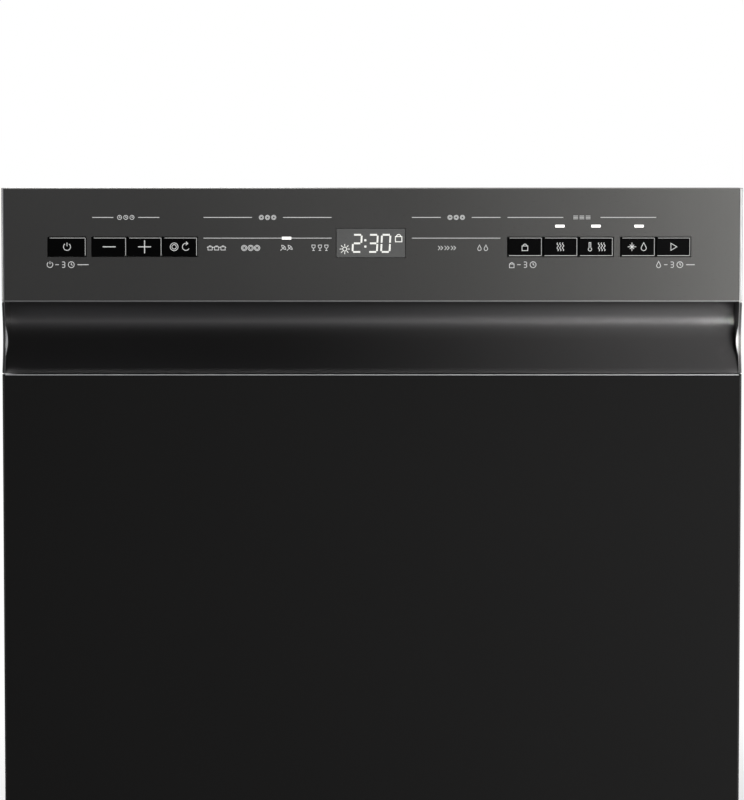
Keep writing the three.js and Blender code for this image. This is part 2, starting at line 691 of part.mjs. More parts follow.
// ---------- Water parts ----------
function sump() {
  const { radius, wall, bottom, rim, post, pin, cap } = SUMP;
  const top = BASE_TOP;
  const ledge = top - 5;
  const bowl = turned([
    [0, bottom],
    [radius, bottom],
    [radius, top - 5],
    [radius + rim, top - 5],
    [radius + rim, top],
    [radius - wall, top],
    [radius - wall, ledge],
    [FLOOR_OPENING - 10, ledge],
    [FLOOR_OPENING - 10, ledge - 3],
    [radius - wall, ledge - 3],
    [radius - wall, bottom + wall],
    [0, bottom + wall],
  ], 48).translate([0, TUB_CENTRE, 0]);
  const arm = TUB_FLOOR + ARM.lift;
  const centre = [0, TUB_CENTRE];
  return join(
    bowl,
    bar("z", centre, post, bottom + 1, arm - TOUCH),
    bar("z", centre, pin, arm - 1, arm + ARM.thick + 4),
    bar("z", centre, cap, arm + ARM.thick + 3, arm + ARM.thick + 6),
  );
}

const CUP_PLACE = [0, TUB_CENTRE - FILTER_CUP.forward];

function filterPlate() {
  const low = BASE_TOP - 5 + TOUCH;
  const under = [low - 1, low + 3];
  return cut(
    bar("z", [0, TUB_CENTRE], FLOOR_OPENING - 2, low, low + 2, 48),
    bar("z", [0, TUB_CENTRE], SUMP.post + 1, ...under),
    bar("z", CUP_PLACE, FILTER_CUP.radius + FILTER_CUP.fit, ...under, 32),
  );
}

// The filter cup about its own axis: a mesh cylinder with a grip bar across its mouth.
function filterCup() {
  const { radius, wall, bottom, top } = FILTER_CUP;
  const shell = turned([
    [0, bottom],
    [radius, bottom],
    [radius, top],
    [radius - wall, top],
    [radius - wall, bottom + wall],
    [0, bottom + wall],
  ]);
  return join(shell, block([-radius + 1, radius - 1], [-3, 3], [top - 12, top - 1]));
}

function washPump() {
  const y = TUB_CENTRE;
  const z = BASE_FLOOR + 52;
  const wall = SUMP.radius + 0.6;
  return join(
    bar("x", [y, z], 15, wall, wall + 16),
    bar("x", [y, z], 45, wall + 12, wall + 34),
    bar("x", [y, z], 36, wall + 30, BASE_HALF - BASE_WALL - 34),
  );
}

function drainPump() {
  const y = TUB_CENTRE;
  const z = BASE_FLOOR + 45;
  const wall = -SUMP.radius - 0.6;
  return join(
    bar("x", [y, z], 12, wall - 16, wall),
    bar("x", [y, z], 30, wall - 34, wall - 12),
    bar("x", [y, z], 22, wall - 74, wall - 30),
    bar("y", [wall - 24, z + 16], 9, y, y + 62),
  );
}

function inletValve() {
  const x = -BASE_HALF + 60;
  const y = TUB_FRONT + 62;
  const z = BASE_FLOOR + 8;
  return join(
    block([x, x + 44], [y - 18, y + 18], [z, z + 34]),
    bar("z", [x + 12, y], 9, z + 30, z + 48),
    bar("y", [x + 22, z + 17], 12, y - 36, y - 16),
  );
}

function junctionBox() {
  const x = BASE_HALF - 110;
  const y = TUB_FRONT + 22;
  const z = BASE_FLOOR + 8;
  return cut(
    block([x, x + 62], [y, y + 46], [z, z + 52]),
    block([x + 2, x + 60], [y - 1, y + 44], [z + 2, z + 50]),
    bar("y", [x + 31, z + 26], 11, y + 40, y + 50),
  );
}

// The heater: a ring that is open at the back, its two legs turned down through the floor.
function heatingElement() {
  const gap = THREE.MathUtils.degToRad(HEATER.gapDegrees);
  const z = TUB_FLOOR + HEATER.lift;
  const steps = 28;
  const ring = Array.from({ length: steps + 1 }, (_, i) => {
    const angle = gap + ((2 * Math.PI - 2 * gap) * i) / steps;
    const [x, y] = [HEATER.radius * Math.sin(angle), HEATER.radius * Math.cos(angle)];
    return new THREE.Vector3(x, TUB_CENTRE + y, z);
  });
  const path = new THREE.CatmullRomCurve3(ring);
  const section = new THREE.Shape();
  section.absarc(0, 0, HEATER.tube, 0, 2 * Math.PI);
  const tube = new THREE.ExtrudeGeometry(section, {
    steps: steps,
    extrudePath: path,
    curveSegments: 4,
    bevelEnabled: false,
  });
  const legs = heaterEnds().map((place) =>
    bar("z", place, HEATER.tube, z - HEATER.leg, z + HEATER.tube * 0.8, 12),
  );
  return join(solid(tube), ...legs);
}

// The float about its own axis: a dome on a stem that passes through the tub floor.
function floatDome() {
  const { radius, height, stem } = FLOAT;
  const base = TUB_FLOOR + TOUCH;
  return turned([
    [0, TUB_FLOOR - 26],
    [stem, TUB_FLOOR - 26],
    [stem, base],
    [radius, base],
    [radius, base + height * 0.6],
    [radius * 0.8, base + height * 0.86],
    [radius * 0.45, base + height],
    [0, base + height],
  ], 24);
}

// A two-bladed spray arm about its own hub, blades along X, its underside at z = 0.
function sprayArm(radius) {
  const half = ARM.width / 2;
  const tip = half * 0.62;
  const blade = [
    [-radius + tip, -tip],
    [-ARM.hub, -half],
    [ARM.hub, -half],
    [radius - tip, -tip],
    [radius, 0],
    [radius - tip, tip],
    [ARM.hub, half],
    [-ARM.hub, half],
    [-radius + tip, tip],
    [-radius, 0],
  ];
  return cut(
    join(prism("z", blade, 0, ARM.thick), bar("z", [0, 0], ARM.hub + 4, 0, ARM.thick + 2.4)),
    bar("z", [0, 0], SUMP.pin + ARM.fit, -1, ARM.thick + 5),
  );
}

const ARM_TOP = ARM.thick + 3;
const MANIFOLD_Z = UPPER_RACK.floor - 16; // underside of the upper rack's water pipe

// The water conduit: along the floor from the sump, up the back wall
// and forward under the roof to the top nozzle.
function feedTube() {
  const half = CONDUIT.width / 2;
  const back = TUB_BACK - TUB_WALL - 1;
  const floor = TUB_FLOOR + TOUCH;
  const roof = TUB_TOP - TUB_WALL - 2;
  const x = [-half, half];
  const portZ = MANIFOLD_Z + 6;
  return join(
    block(x, [TUB_CENTRE + FLOOR_OPENING + 4, back], [floor, floor + 7]),
    block(x, [back - CONDUIT.depth, back], [floor, roof]),
    block(x, [TUB_CENTRE, back], [roof - CONDUIT.depth, roof]),
    bar("z", [0, TUB_CENTRE], half + 6, roof - CONDUIT.depth - 10, roof - 2),
    bar("y", [0, portZ], CONDUIT.port, back - CONDUIT.depth - 8, back - 2),
  );
}

// The pipe under the upper rack that feeds its spray arm and carries the arm's pin.
function rackManifold() {
  const armLow = MANIFOLD_Z - ARM_TOP - TOUCH;
  const end = TUB_BACK - TUB_WALL - 1 - CONDUIT.depth - 10;
  const centre = [0, TUB_CENTRE];
  return join(
    block([-15, 15], [TUB_CENTRE - 15, end], [MANIFOLD_Z, MANIFOLD_Z + 12]),
    bar("z", centre, SUMP.pin, armLow - 3, MANIFOLD_Z + 2),
    bar("z", centre, SUMP.cap, armLow - 5, armLow - TOUCH),
  );
}

// ---------- Racks ----------
// A welded wire basket: U-shaped wires both ways over the floor, and a rim and a middle ring round the sides.
function wireRack(floor, height) {
  const rim = floor + height;
  const t = WIRE;
  const uShape = (low, high, bottom) => [
    [low, rim],
    [low, bottom],
    [high, bottom],
    [high, rim],
    [high - t, rim],
    [high - t, bottom + t],
    [low + t, bottom + t],
    [low + t, rim],
  ];
  const spread = (count, low, high) =>
    Array.from({ length: count }, (_, i) => low + ((high - low) * i) / (count - 1));
  const across = spread(RACK_WIRES.across, RACK_FRONT + 30, RACK_BACK - 34).map((y) =>
    prism("y", uShape(-RACK_HALF, RACK_HALF, floor), y, y + t),
  );
  const along = spread(RACK_WIRES.along, -RACK_HALF + 30, RACK_HALF - 34).map((x) =>
    prism("x", uShape(RACK_FRONT, RACK_BACK, floor + t - WELD), x, x + t),
  );
  const ring = (z) => {
    const out = t - WELD;
    const outer = block(
      [-RACK_HALF - out, RACK_HALF + out],
      [RACK_FRONT - out, RACK_BACK + out],
      [z, z + t],
    );
    const inner = block(
      [-RACK_HALF + WELD, RACK_HALF - WELD],
      [RACK_FRONT + WELD, RACK_BACK - WELD],
      [z - 1, z + t + 1],
    );
    return cut(outer, inner);
  };
  return join(...across, ...along, ring(rim - t), ring(floor + height * 0.45));
}

const WHEEL_Z = TUB_FLOOR + WHEEL.radius + 0.8;
const LOWER_FLOOR = TUB_FLOOR + LOWER_RACK.floorLift;
const WHEEL_INNER = RACK_HALF + 4;
const WHEEL_PLACES = [
  ["front", RACK_FRONT + 80],
  ["rear", RACK_BACK - 80],
];

// The lower rack with the brackets and axles that carry its wheels.
function lowerRackFrame() {
  const carriers = WHEEL_PLACES.flatMap(([, y]) =>
    [-1, 1].map((side) => {
      const plate = block(
        sided(side, [RACK_HALF - 3, RACK_HALF]),
        [y - 22, y + 22],
        [WHEEL_Z - 8, LOWER_FLOOR + LOWER_RACK.height * 0.45 + 2],
      );
      const axleSpan = sided(side, [RACK_HALF - 2, WHEEL_INNER + WHEEL.width]);
      const axle = bar("x", [y, WHEEL_Z], WHEEL.axle, ...axleSpan, 16);
      return join(plate, axle);
    }),
  );
  return join(wireRack(LOWER_FLOOR, LOWER_RACK.height), ...carriers);
}

// The upper rack with the stub axles that ride in its rails.
function upperRackFrame() {
  const stubs = [RACK_FRONT + 110, RACK_BACK - 40].flatMap((y) =>
    [-1, 1].map((side) => {
      const railInner = RACK_HALF + 14;
      const plateSpan = sided(side, [RACK_HALF - 3, RACK_HALF]);
      const plate = block(plateSpan, [y - 16, y + 16], [RAIL.z - 14, RAIL.z + 14]);
      return join(plate, bar("x", [y, RAIL.z], 4, ...sided(side, [RACK_HALF - 2, railInner + 7]), 16));
    }),
  );
  return join(wireRack(UPPER_RACK.floor, UPPER_RACK.height), ...stubs);
}

// A rack wheel about its own axis, which lies along X.
function rackWheel() {
  const { radius, width, bore } = WHEEL;
  const ring = turned([
    [bore, 0],
    [radius - 4, 0],
    [radius, 2],
    [radius, width - 2],
    [radius - 4, width],
    [bore, width],
    [bore, 0],
  ], 28);
  return ring.rotate([0, 90, 0]);
}

function addWheels() {
  for (const [end, y] of WHEEL_PLACES)
    for (const side of [-1, 1]) {
      const inner = side > 0 ? WHEEL_INNER : -WHEEL_INNER - WHEEL.width;
      const name = `wheel_${end}_${side > 0 ? "right" : "left"}`;
      addAt(lowerRack, name, rackWheel(), material.greyPlastic, [inner, y, WHEEL_Z]);
    }
}

const BASKET_FRONT = RACK_FRONT + 14;
const BASKET_FLOOR = LOWER_FLOOR + 2 * WIRE - WELD + TOUCH;

function silverwareBasket() {
  const { width, depth, height, wall, cells } = BASKET;
  const body = block(
    [-width / 2, width / 2],
    [BASKET_FRONT, BASKET_FRONT + depth],
    [BASKET_FLOOR, BASKET_FLOOR + height],
  );
  const cellWidth = (width - (cells + 1) * wall) / cells;
  const rooms = Array.from({ length: cells }, (_, i) => {
    const x = -width / 2 + wall + i * (cellWidth + wall);
    return block(
      [x, x + cellWidth],
      [BASKET_FRONT + wall, BASKET_FRONT + depth - wall],
      [BASKET_FLOOR + wall, BASKET_FLOOR + height + 1],
    );
  });
  const middle = BASKET_FRONT + depth / 2;
  const top = BASKET_FLOOR + height;
  const grip = cut(
    block([-width / 2, width / 2], [middle - 3, middle + 3], [top - 30, top + 46]),
    block([-width / 2 + 7, width / 2 - 7], [middle - 5, middle + 5], [top - 40, top + 36]),
  );
  return join(cut(body, ...rooms), grip);
}

// ---------- Upper rack rails ----------
function channel(side, open, web, z, height, steel, [front, back]) {
  const outline = [
    [open, z - height / 2],
    [web, z - height / 2],
    [web, z + height / 2],
    [open, z + height / 2],
    [open, z + height / 2 - steel],
    [web - steel, z + height / 2 - steel],
    [web - steel, z - height / 2 + steel],
    [open, z - height / 2 + steel],
  ];
  const placed = side > 0 ? outline : outline.map(([x, height]) => [-x, height]).reverse();
  return prism("y", placed, front, back);
}

const RAIL_SPAN = [RACK_FRONT + 2, RACK_BACK - RAIL.backGap];
const RAIL_OPEN = RACK_HALF + 13.5;

function rail(side) {
  return channel(side, RAIL_OPEN, RAIL_OPEN + RAIL.depth, RAIL.z, RAIL.height, RAIL.steel, RAIL_SPAN);
}

function railGuide(side) {
  const { depth, height, steel, fit } = RAIL;
  const outerHeight = height + 2 * (fit + steel);
  const web = RAIL_OPEN + depth + fit + steel;
  const span = [RAIL_SPAN[0] + 10, RAIL_SPAN[1] - 10];
  const guide = channel(side, RAIL_OPEN + 4, web, RAIL.z, outerHeight, steel, span);
  const feet = [span[0] + 30, span[1] - 60].map((y) =>
    block(sided(side, [web - 0.5, TUB_HALF - TUB_WALL - TOUCH]), [y, y + 30], [RAIL.z - 10, RAIL.z + 10]),
  );
  return join(guide, ...feet);
}

// ---------- The assembly ----------
addPlaced(machine, "tub", tub(), material.stainless);
addPlaced(machine, "tub_gasket", tubGasket(), material.rubber);
addPlaced(machine, "base_frame", baseFrame(), material.darkPlastic);
addPlaced(machine, "sound_blanket", soundBlanket(), material.blanket);
addPlaced(machine, "steel_frame", steelFrame(), material.galvanised);
addPlaced(machine, "toe_kick", toeKick(), material.blackSteel);
addPlaced(machine, "sump", sump(), material.darkPlastic);
addPlaced(machine, "filter_plate", filterPlate(), material.stainless);
addPlaced(machine, "wash_pump", washPump(), material.darkPlastic);
addPlaced(machine, "drain_pump", drainPump(), material.darkPlastic);
addPlaced(machine, "heating_element", heatingElement(), material.heater);
addPlaced(machine, "inlet_valve", inletValve(), material.whitePlastic);
addPlaced(machine, "junction_box", junctionBox(), material.galvanised);
addPlaced(machine, "feed_tube", feedTube(), material.greyPlastic);
addPlaced(machine, "latch_strike", latchStrike(), material.stainless);
for (const [name, x, y] of footPlaces())
  addAt(machine, name, levellingFoot(), material.darkPlastic, [x, y, 0]);
addAt(machine, "filter_cup", filterCup(), material.greyPlastic, [...CUP_PLACE, 0]);
addAt(machine, "float_dome", floatDome(), material.greyPlastic, [...FLOAT_PLACE, 0]);
addAt(machine, "lower_spray_arm", sprayArm(ARM_RADIUS), material.greyPlastic, [
  0,
  TUB_CENTRE,
  TUB_FLOOR + ARM.lift,
]);
for (const side of [-1, 1]) {
  const hand = side > 0 ? "right" : "left";
  addPlaced(machine, `rail_guide_${hand}`, railGuide(side), material.stainless);
  addPlaced(machine, `rail_${hand}`, rail(side), material.stainless);
  addPlaced(machine, `door_spring_${hand}`, doorSpring(side), material.galvanised);
  addPlaced(door, `hinge_arm_${hand}`, hingeArm(side), material.galvanised);
}

addPlaced(door, "door_panel", doorPanel(), material.blackSteel);
addPlaced(door, "control_panel", controlPanel(), material.fascia);
addPlaced(door, "handle_pocket", handlePocket(), material.pocket);
addPlaced(door, "door_liner", doorLiner(), material.stainless);
addPlaced(door, "door_pad", doorPad(), material.blanket);
addPlaced(door, "display_window", displayWindow(), material.display);
addPlaced(door, "control_module", controlModule(), material.whitePlastic);
addPlaced(door, "door_latch", doorLatch(), material.darkPlastic);
addPlaced(door, "dispenser_body", dispenserBody(), material.greyPlastic);
addPlaced(door, "dispenser_lid", dispenserLid(), material.greyPlastic);
addPlaced(door, "vent_cover", ventCover(), material.greyPlastic);
addAt(door, "rinse_cap", rinseCap(), material.darkPlastic, [
  DISPENSER.x + 50,
  LINER_FACE + TOUCH,
  DISPENSER.z,
]);
addButtons();

addPlaced(lowerRack, "lower_rack", lowerRackFrame(), material.rackWire);
addPlaced(lowerRack, "silverware_basket", silverwareBasket(), material.greyPlastic);
addWheels();
addPlaced(upperRack, "upper_rack", upperRackFrame(), material.rackWire);
addPlaced(upperRack, "rack_manifold", rackManifold(), material.greyPlastic);
addAt(upperRack, "upper_spray_arm", sprayArm(ARM_RADIUS), material.greyPlastic, [
  0,
  TUB_CENTRE,
  MANIFOLD_Z - ARM_TOP,
]);

export default machine;
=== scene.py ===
"""A built-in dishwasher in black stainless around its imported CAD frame. Metres, +Z up, front to -Y."""
import math

import bmesh
import bpy
from mathutils import Matrix, Vector

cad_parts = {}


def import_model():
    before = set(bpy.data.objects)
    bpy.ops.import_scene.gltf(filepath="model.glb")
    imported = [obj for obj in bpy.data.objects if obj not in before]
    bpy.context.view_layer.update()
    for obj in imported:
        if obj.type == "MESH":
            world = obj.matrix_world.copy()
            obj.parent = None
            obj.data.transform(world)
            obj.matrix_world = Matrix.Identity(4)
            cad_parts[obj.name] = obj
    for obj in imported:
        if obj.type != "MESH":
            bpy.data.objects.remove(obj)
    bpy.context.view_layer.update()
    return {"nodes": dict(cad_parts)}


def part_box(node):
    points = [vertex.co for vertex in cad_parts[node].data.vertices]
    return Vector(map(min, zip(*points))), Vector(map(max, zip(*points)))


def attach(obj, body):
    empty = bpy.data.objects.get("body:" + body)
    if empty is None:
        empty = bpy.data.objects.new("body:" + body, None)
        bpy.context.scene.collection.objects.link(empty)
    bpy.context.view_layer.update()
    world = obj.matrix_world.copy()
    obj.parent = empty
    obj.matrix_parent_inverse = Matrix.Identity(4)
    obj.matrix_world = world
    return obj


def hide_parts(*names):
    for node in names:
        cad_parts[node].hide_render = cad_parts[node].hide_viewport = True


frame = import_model()
NODES = frame["nodes"]

# ---------- Places read from the frame ----------
PANEL_LOW, PANEL_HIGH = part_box("control_panel")
DOOR_LOW, DOOR_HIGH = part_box("door_panel")
POCKET_LOW, POCKET_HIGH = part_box("handle_pocket")
HALF = PANEL_HIGH.x
FRONT = PANEL_LOW.y
DOOR_TOP = PANEL_HIGH.z
FASCIA_BOTTOM = PANEL_LOW.z
PANEL_TOP = DOOR_HIGH.z
INK = 0.00006  # how far printed marks stand off their surface

# ---------- The camera ----------
CAMERA_DISTANCE = 2.876
CAMERA_RISE = 0.017  # above the door top
CAMERA_PITCH = 3.745
LENS = 160.3


# ---------- Materials ----------
class Shade:
    """A node material that is built up around one Principled shader."""

    def __init__(self, name, color, roughness, metallic=0.0, **sockets):
        self.material = bpy.data.materials.new(name)
        self.material.use_nodes = True
        self.nodes = self.material.node_tree.nodes
        self.links = self.material.node_tree.links
        self.shader = self.nodes["Principled BSDF"]
        self.color = (*color, 1.0)
        self.roughness = roughness
        self.shader.inputs["Base Color"].default_value = self.color
        self.shader.inputs["Roughness"].default_value = roughness
        self.shader.inputs["Metallic"].default_value = metallic
        for socket, value in sockets.items():
            self.shader.inputs[socket.replace("_", " ")].default_value = value
        self.coordinates = self.nodes.new("ShaderNodeTexCoord")

    def texture(self, kind, scale, stretch=(1, 1, 1), **settings):
        """A procedural texture in the object's own coordinates."""
        mapping = self.nodes.new("ShaderNodeMapping")
        mapping.inputs["Scale"].default_value = stretch
        self.links.new(self.coordinates.outputs["Object"], mapping.inputs["Vector"])
        node = self.nodes.new(kind)
        self.links.new(mapping.outputs["Vector"], node.inputs["Vector"])
        node.inputs["Scale"].default_value = scale
        for socket, value in settings.items():
            node.inputs[socket.replace("_", " ")].default_value = value
        return node.outputs[0]

    def color_between(self, source, *stops):
        """Takes the base colour from a ramp of [position, colour] stops."""
        ramp = self.nodes.new("ShaderNodeValToRGB")
        for element, (position, color) in zip(ramp.color_ramp.elements, stops):
            element.position = position
            element.color = (*color[:3], 1.0)
        self.links.new(source, ramp.inputs["Fac"])
        self.links.new(ramp.outputs["Color"], self.shader.inputs["Base Color"])
        return self

    def vary_color(self, source, amount):
        """Lightens and darkens the base colour by a share of itself."""
        dark = [c * (1 - amount) for c in self.color[:3]]
        light = [min(1.0, c * (1 + amount)) for c in self.color[:3]]
        return self.color_between(source, (0.3, dark), (0.7, light))

    def remap(self, source, before, after, socket):
        """Maps a value from one range to another and feeds it to the shader."""
        span = self.nodes.new("ShaderNodeMapRange")
        for name, value in zip(("From Min", "From Max", "To Min", "To Max"), (*before, *after)):
            span.inputs[name].default_value = value
        self.links.new(source, span.inputs["Value"])
        self.links.new(span.outputs["Result"], self.shader.inputs[socket])
        return self

    def vary_roughness(self, source, amount):
        after = (self.roughness - amount, self.roughness + amount)
        return self.remap(source, (0.3, 0.7), after, "Roughness")

    def bump(self, source, strength, distance):
        node = self.nodes.new("ShaderNodeBump")
        node.inputs["Strength"].default_value = strength
        node.inputs["Distance"].default_value = distance
        self.links.new(source, node.inputs["Height"])
        self.links.new(node.outputs["Normal"], self.shader.inputs["Normal"])
        return self


def brushed(name, color, roughness, metallic, grain, strength=0.15, **sockets):
    """Sheet metal whose fine scratches run along the axis where grain is small."""
    shade = Shade(name, color, roughness, metallic, **sockets)
    scratches = shade.texture("ShaderNodeTexNoise", 60.0, grain, Detail=4.0)
    clouds = shade.texture("ShaderNodeTexNoise", 7.0, Detail=3.0)
    shade.vary_color(clouds, 0.04).vary_roughness(scratches, 0.03).bump(scratches, strength, 0.00002)
    return shade.material


def moulded(name, color, roughness, speckle=900.0, strength=0.2, **sockets):
    """Moulded plastic with a fine spark-eroded texture."""
    shade = Shade(name, color, roughness, **sockets)
    skin = shade.texture("ShaderNodeTexNoise", speckle, Detail=2.0)
    clouds = shade.texture("ShaderNodeTexNoise", 12.0, Detail=3.0)
    shade.vary_color(clouds, 0.05).vary_roughness(clouds, 0.04).bump(skin, strength, 0.00003)
    return shade.material


def felt(name, color):
    shade = Shade(name, color, 0.95, Sheen_Weight=0.25)
    fibres = shade.texture("ShaderNodeTexNoise", 420.0, Detail=6.0)
    lumps = shade.texture("ShaderNodeTexVoronoi", 60.0)
    shade.vary_color(fibres, 0.35).bump(lumps, 0.4, 0.0008)
    return shade.material


def perforated(name, color):
    """Stainless mesh: fine round holes drawn as dark, sunken dots."""
    shade = Shade(name, color, 0.35, 1.0)
    cells = shade.texture("ShaderNodeTexVoronoi", 420.0, Randomness=0.0)
    shade.color_between(cells, (0.28, (0.01, 0.01, 0.01)), (0.36, color)).bump(cells, 0.5, 0.0003)
    return shade.material


def glowing(name, color, strength):
    shade = Shade(name, color, 0.5, Emission_Color=(*color, 1.0), Emission_Strength=strength)
    fine = shade.texture("ShaderNodeTexNoise", 500.0)
    return shade.vary_color(fine, 0.04).material


# How far each finish's grain is stretched: small numbers run along the scratches.
ALONG_X = (0.6, 60, 60)
ALONG_Y = (60, 0.6, 60)
ALONG_Z = (60, 60, 0.6)
FINE_ALONG_X = (3, 150, 150)
EVERY_WAY = (8, 8, 8)
LOW_SHEEN = {"Specular_IOR_Level": 0.25}

MAT = {
    "door": brushed("door_black_stainless", (0.0078, 0.0075, 0.0069), 0.52, 0.15, ALONG_Z, 0.1, **LOW_SHEEN),
    "fascia": brushed("fascia_black_stainless", (0.128, 0.126, 0.121), 0.3, 0.95, FINE_ALONG_X, 0.035),
    "pocket": brushed("pocket_black", (0.125, 0.122, 0.122), 0.33, 0.82, FINE_ALONG_X, 0.02),
    "key": moulded("key_gloss_black", (0.0012, 0.0012, 0.0012), 0.3, 300.0, 0.02, Specular_IOR_Level=0.06),
    # Glowing strips drawn on the keys' edges: a painted highlight, not a lit rim.
    "key_painted_highlight": glowing("key_edge_painted_highlight", (0.62, 0.62, 0.6), 0.34),
    "window": moulded("display_smoke", (0.19, 0.19, 0.184), 0.35, 200.0, 0.01, Specular_IOR_Level=0.3),
    # White print that also glows a little: the print is real, the glow is painted brightness.
    "glowing_ink": glowing("white_ink_painted_glow", (0.62, 0.62, 0.61), 0.45),
    "lamp": glowing("lamp_white", (1.0, 0.98, 0.94), 1.6),
    "digit": glowing("digit_white", (0.75, 0.75, 0.71), 0.8),
    "stainless": brushed("tub_stainless", (0.76, 0.76, 0.77), 0.3, 1.0, ALONG_Z, 0.15),
    "plate_steel": brushed("rail_stainless", (0.58, 0.58, 0.59), 0.25, 1.0, ALONG_Y, 0.15),
    "zinc": brushed("zinc_plated", (0.42, 0.43, 0.44), 0.42, 0.95, EVERY_WAY, 0.12),
    "rubber": moulded("seal_rubber", (0.05, 0.052, 0.055), 0.75, 500.0, 0.25),
    "felt": felt("bitumen_felt", (0.022, 0.021, 0.02)),
    "dark": moulded("dark_plastic", (0.03, 0.03, 0.032), 0.5),
    "grey": moulded("grey_plastic", (0.3, 0.31, 0.32), 0.45),
    "white": moulded("white_plastic", (0.7, 0.7, 0.68), 0.42),
    "heater": brushed("heater_alloy", (0.09, 0.085, 0.08), 0.35, 0.9, EVERY_WAY, 0.15),
    "wire": moulded("nylon_wire", (0.46, 0.48, 0.51), 0.4, 700.0, 0.1, Coat_Weight=0.15),
    "mesh": perforated("filter_mesh", (0.5, 0.5, 0.5)),
    # The same hem steel twice: a lighter copy as painted highlight and a darker copy as painted shade.
    "hem_lit_copy": brushed("hem_steel_painted_lit", (0.9, 0.9, 0.89), 0.4, 1.0, ALONG_X, 0.05),
    "trim": brushed("trim_steel", (0.5, 0.5, 0.49), 0.42, 1.0, ALONG_Z, 0.05),
    "hem_shaded_copy": brushed("hem_steel_painted_shade", (0.46, 0.46, 0.45), 0.4, 1.0, ALONG_X, 0.05),
    "screw": brushed("screw_steel", (0.5, 0.5, 0.51), 0.3, 1.0, EVERY_WAY, 0.1),
}

NODE_FINISH = {
    "door": ["door_panel", "toe_kick"],
    "fascia": ["control_panel"],
    "window": ["display_window"],
    "stainless": ["tub", "door_liner", "latch_strike"],
    "plate_steel": ["rail_left", "rail_right", "rail_guide_left", "rail_guide_right"],
    "mesh": ["filter_plate"],
    "zinc": ["steel_frame", "hinge_arm_left", "hinge_arm_right", "junction_box"],
    "rubber": ["tub_gasket"],
    "felt": ["sound_blanket", "door_pad"],
    "dark": ["base_frame", "sump", "wash_pump", "drain_pump", "door_latch", "rinse_cap", "vent_cover"],
    "white": ["inlet_valve", "control_module"],
    "grey": ["feed_tube", "filter_cup", "float_dome", "rack_manifold", "dispenser_body", "dispenser_lid"],
}


# ---------- Mesh helpers ----------
def round_edges(piece, width, segments, limit="ANGLE"):
    bevel = piece.modifiers.new("bevel", "BEVEL")
    bevel.width = width
    bevel.segments = segments
    bevel.limit_method = limit
    bevel.angle_limit = math.radians(40)


def paint(piece, finish):
    piece.data.materials.clear()
    piece.data.materials.append(MAT[finish])


def mesh_of(name, verts, faces):
    data = bpy.data.meshes.new(name)
    data.from_pydata([tuple(v) for v in verts], [], faces)
    data.update()
    built = bmesh.new()
    built.from_mesh(data)
    bmesh.ops.remove_doubles(built, verts=built.verts, dist=1e-7)
    bmesh.ops.recalc_face_normals(built, faces=built.faces)
    built.to_mesh(data)
    built.free()
    return data


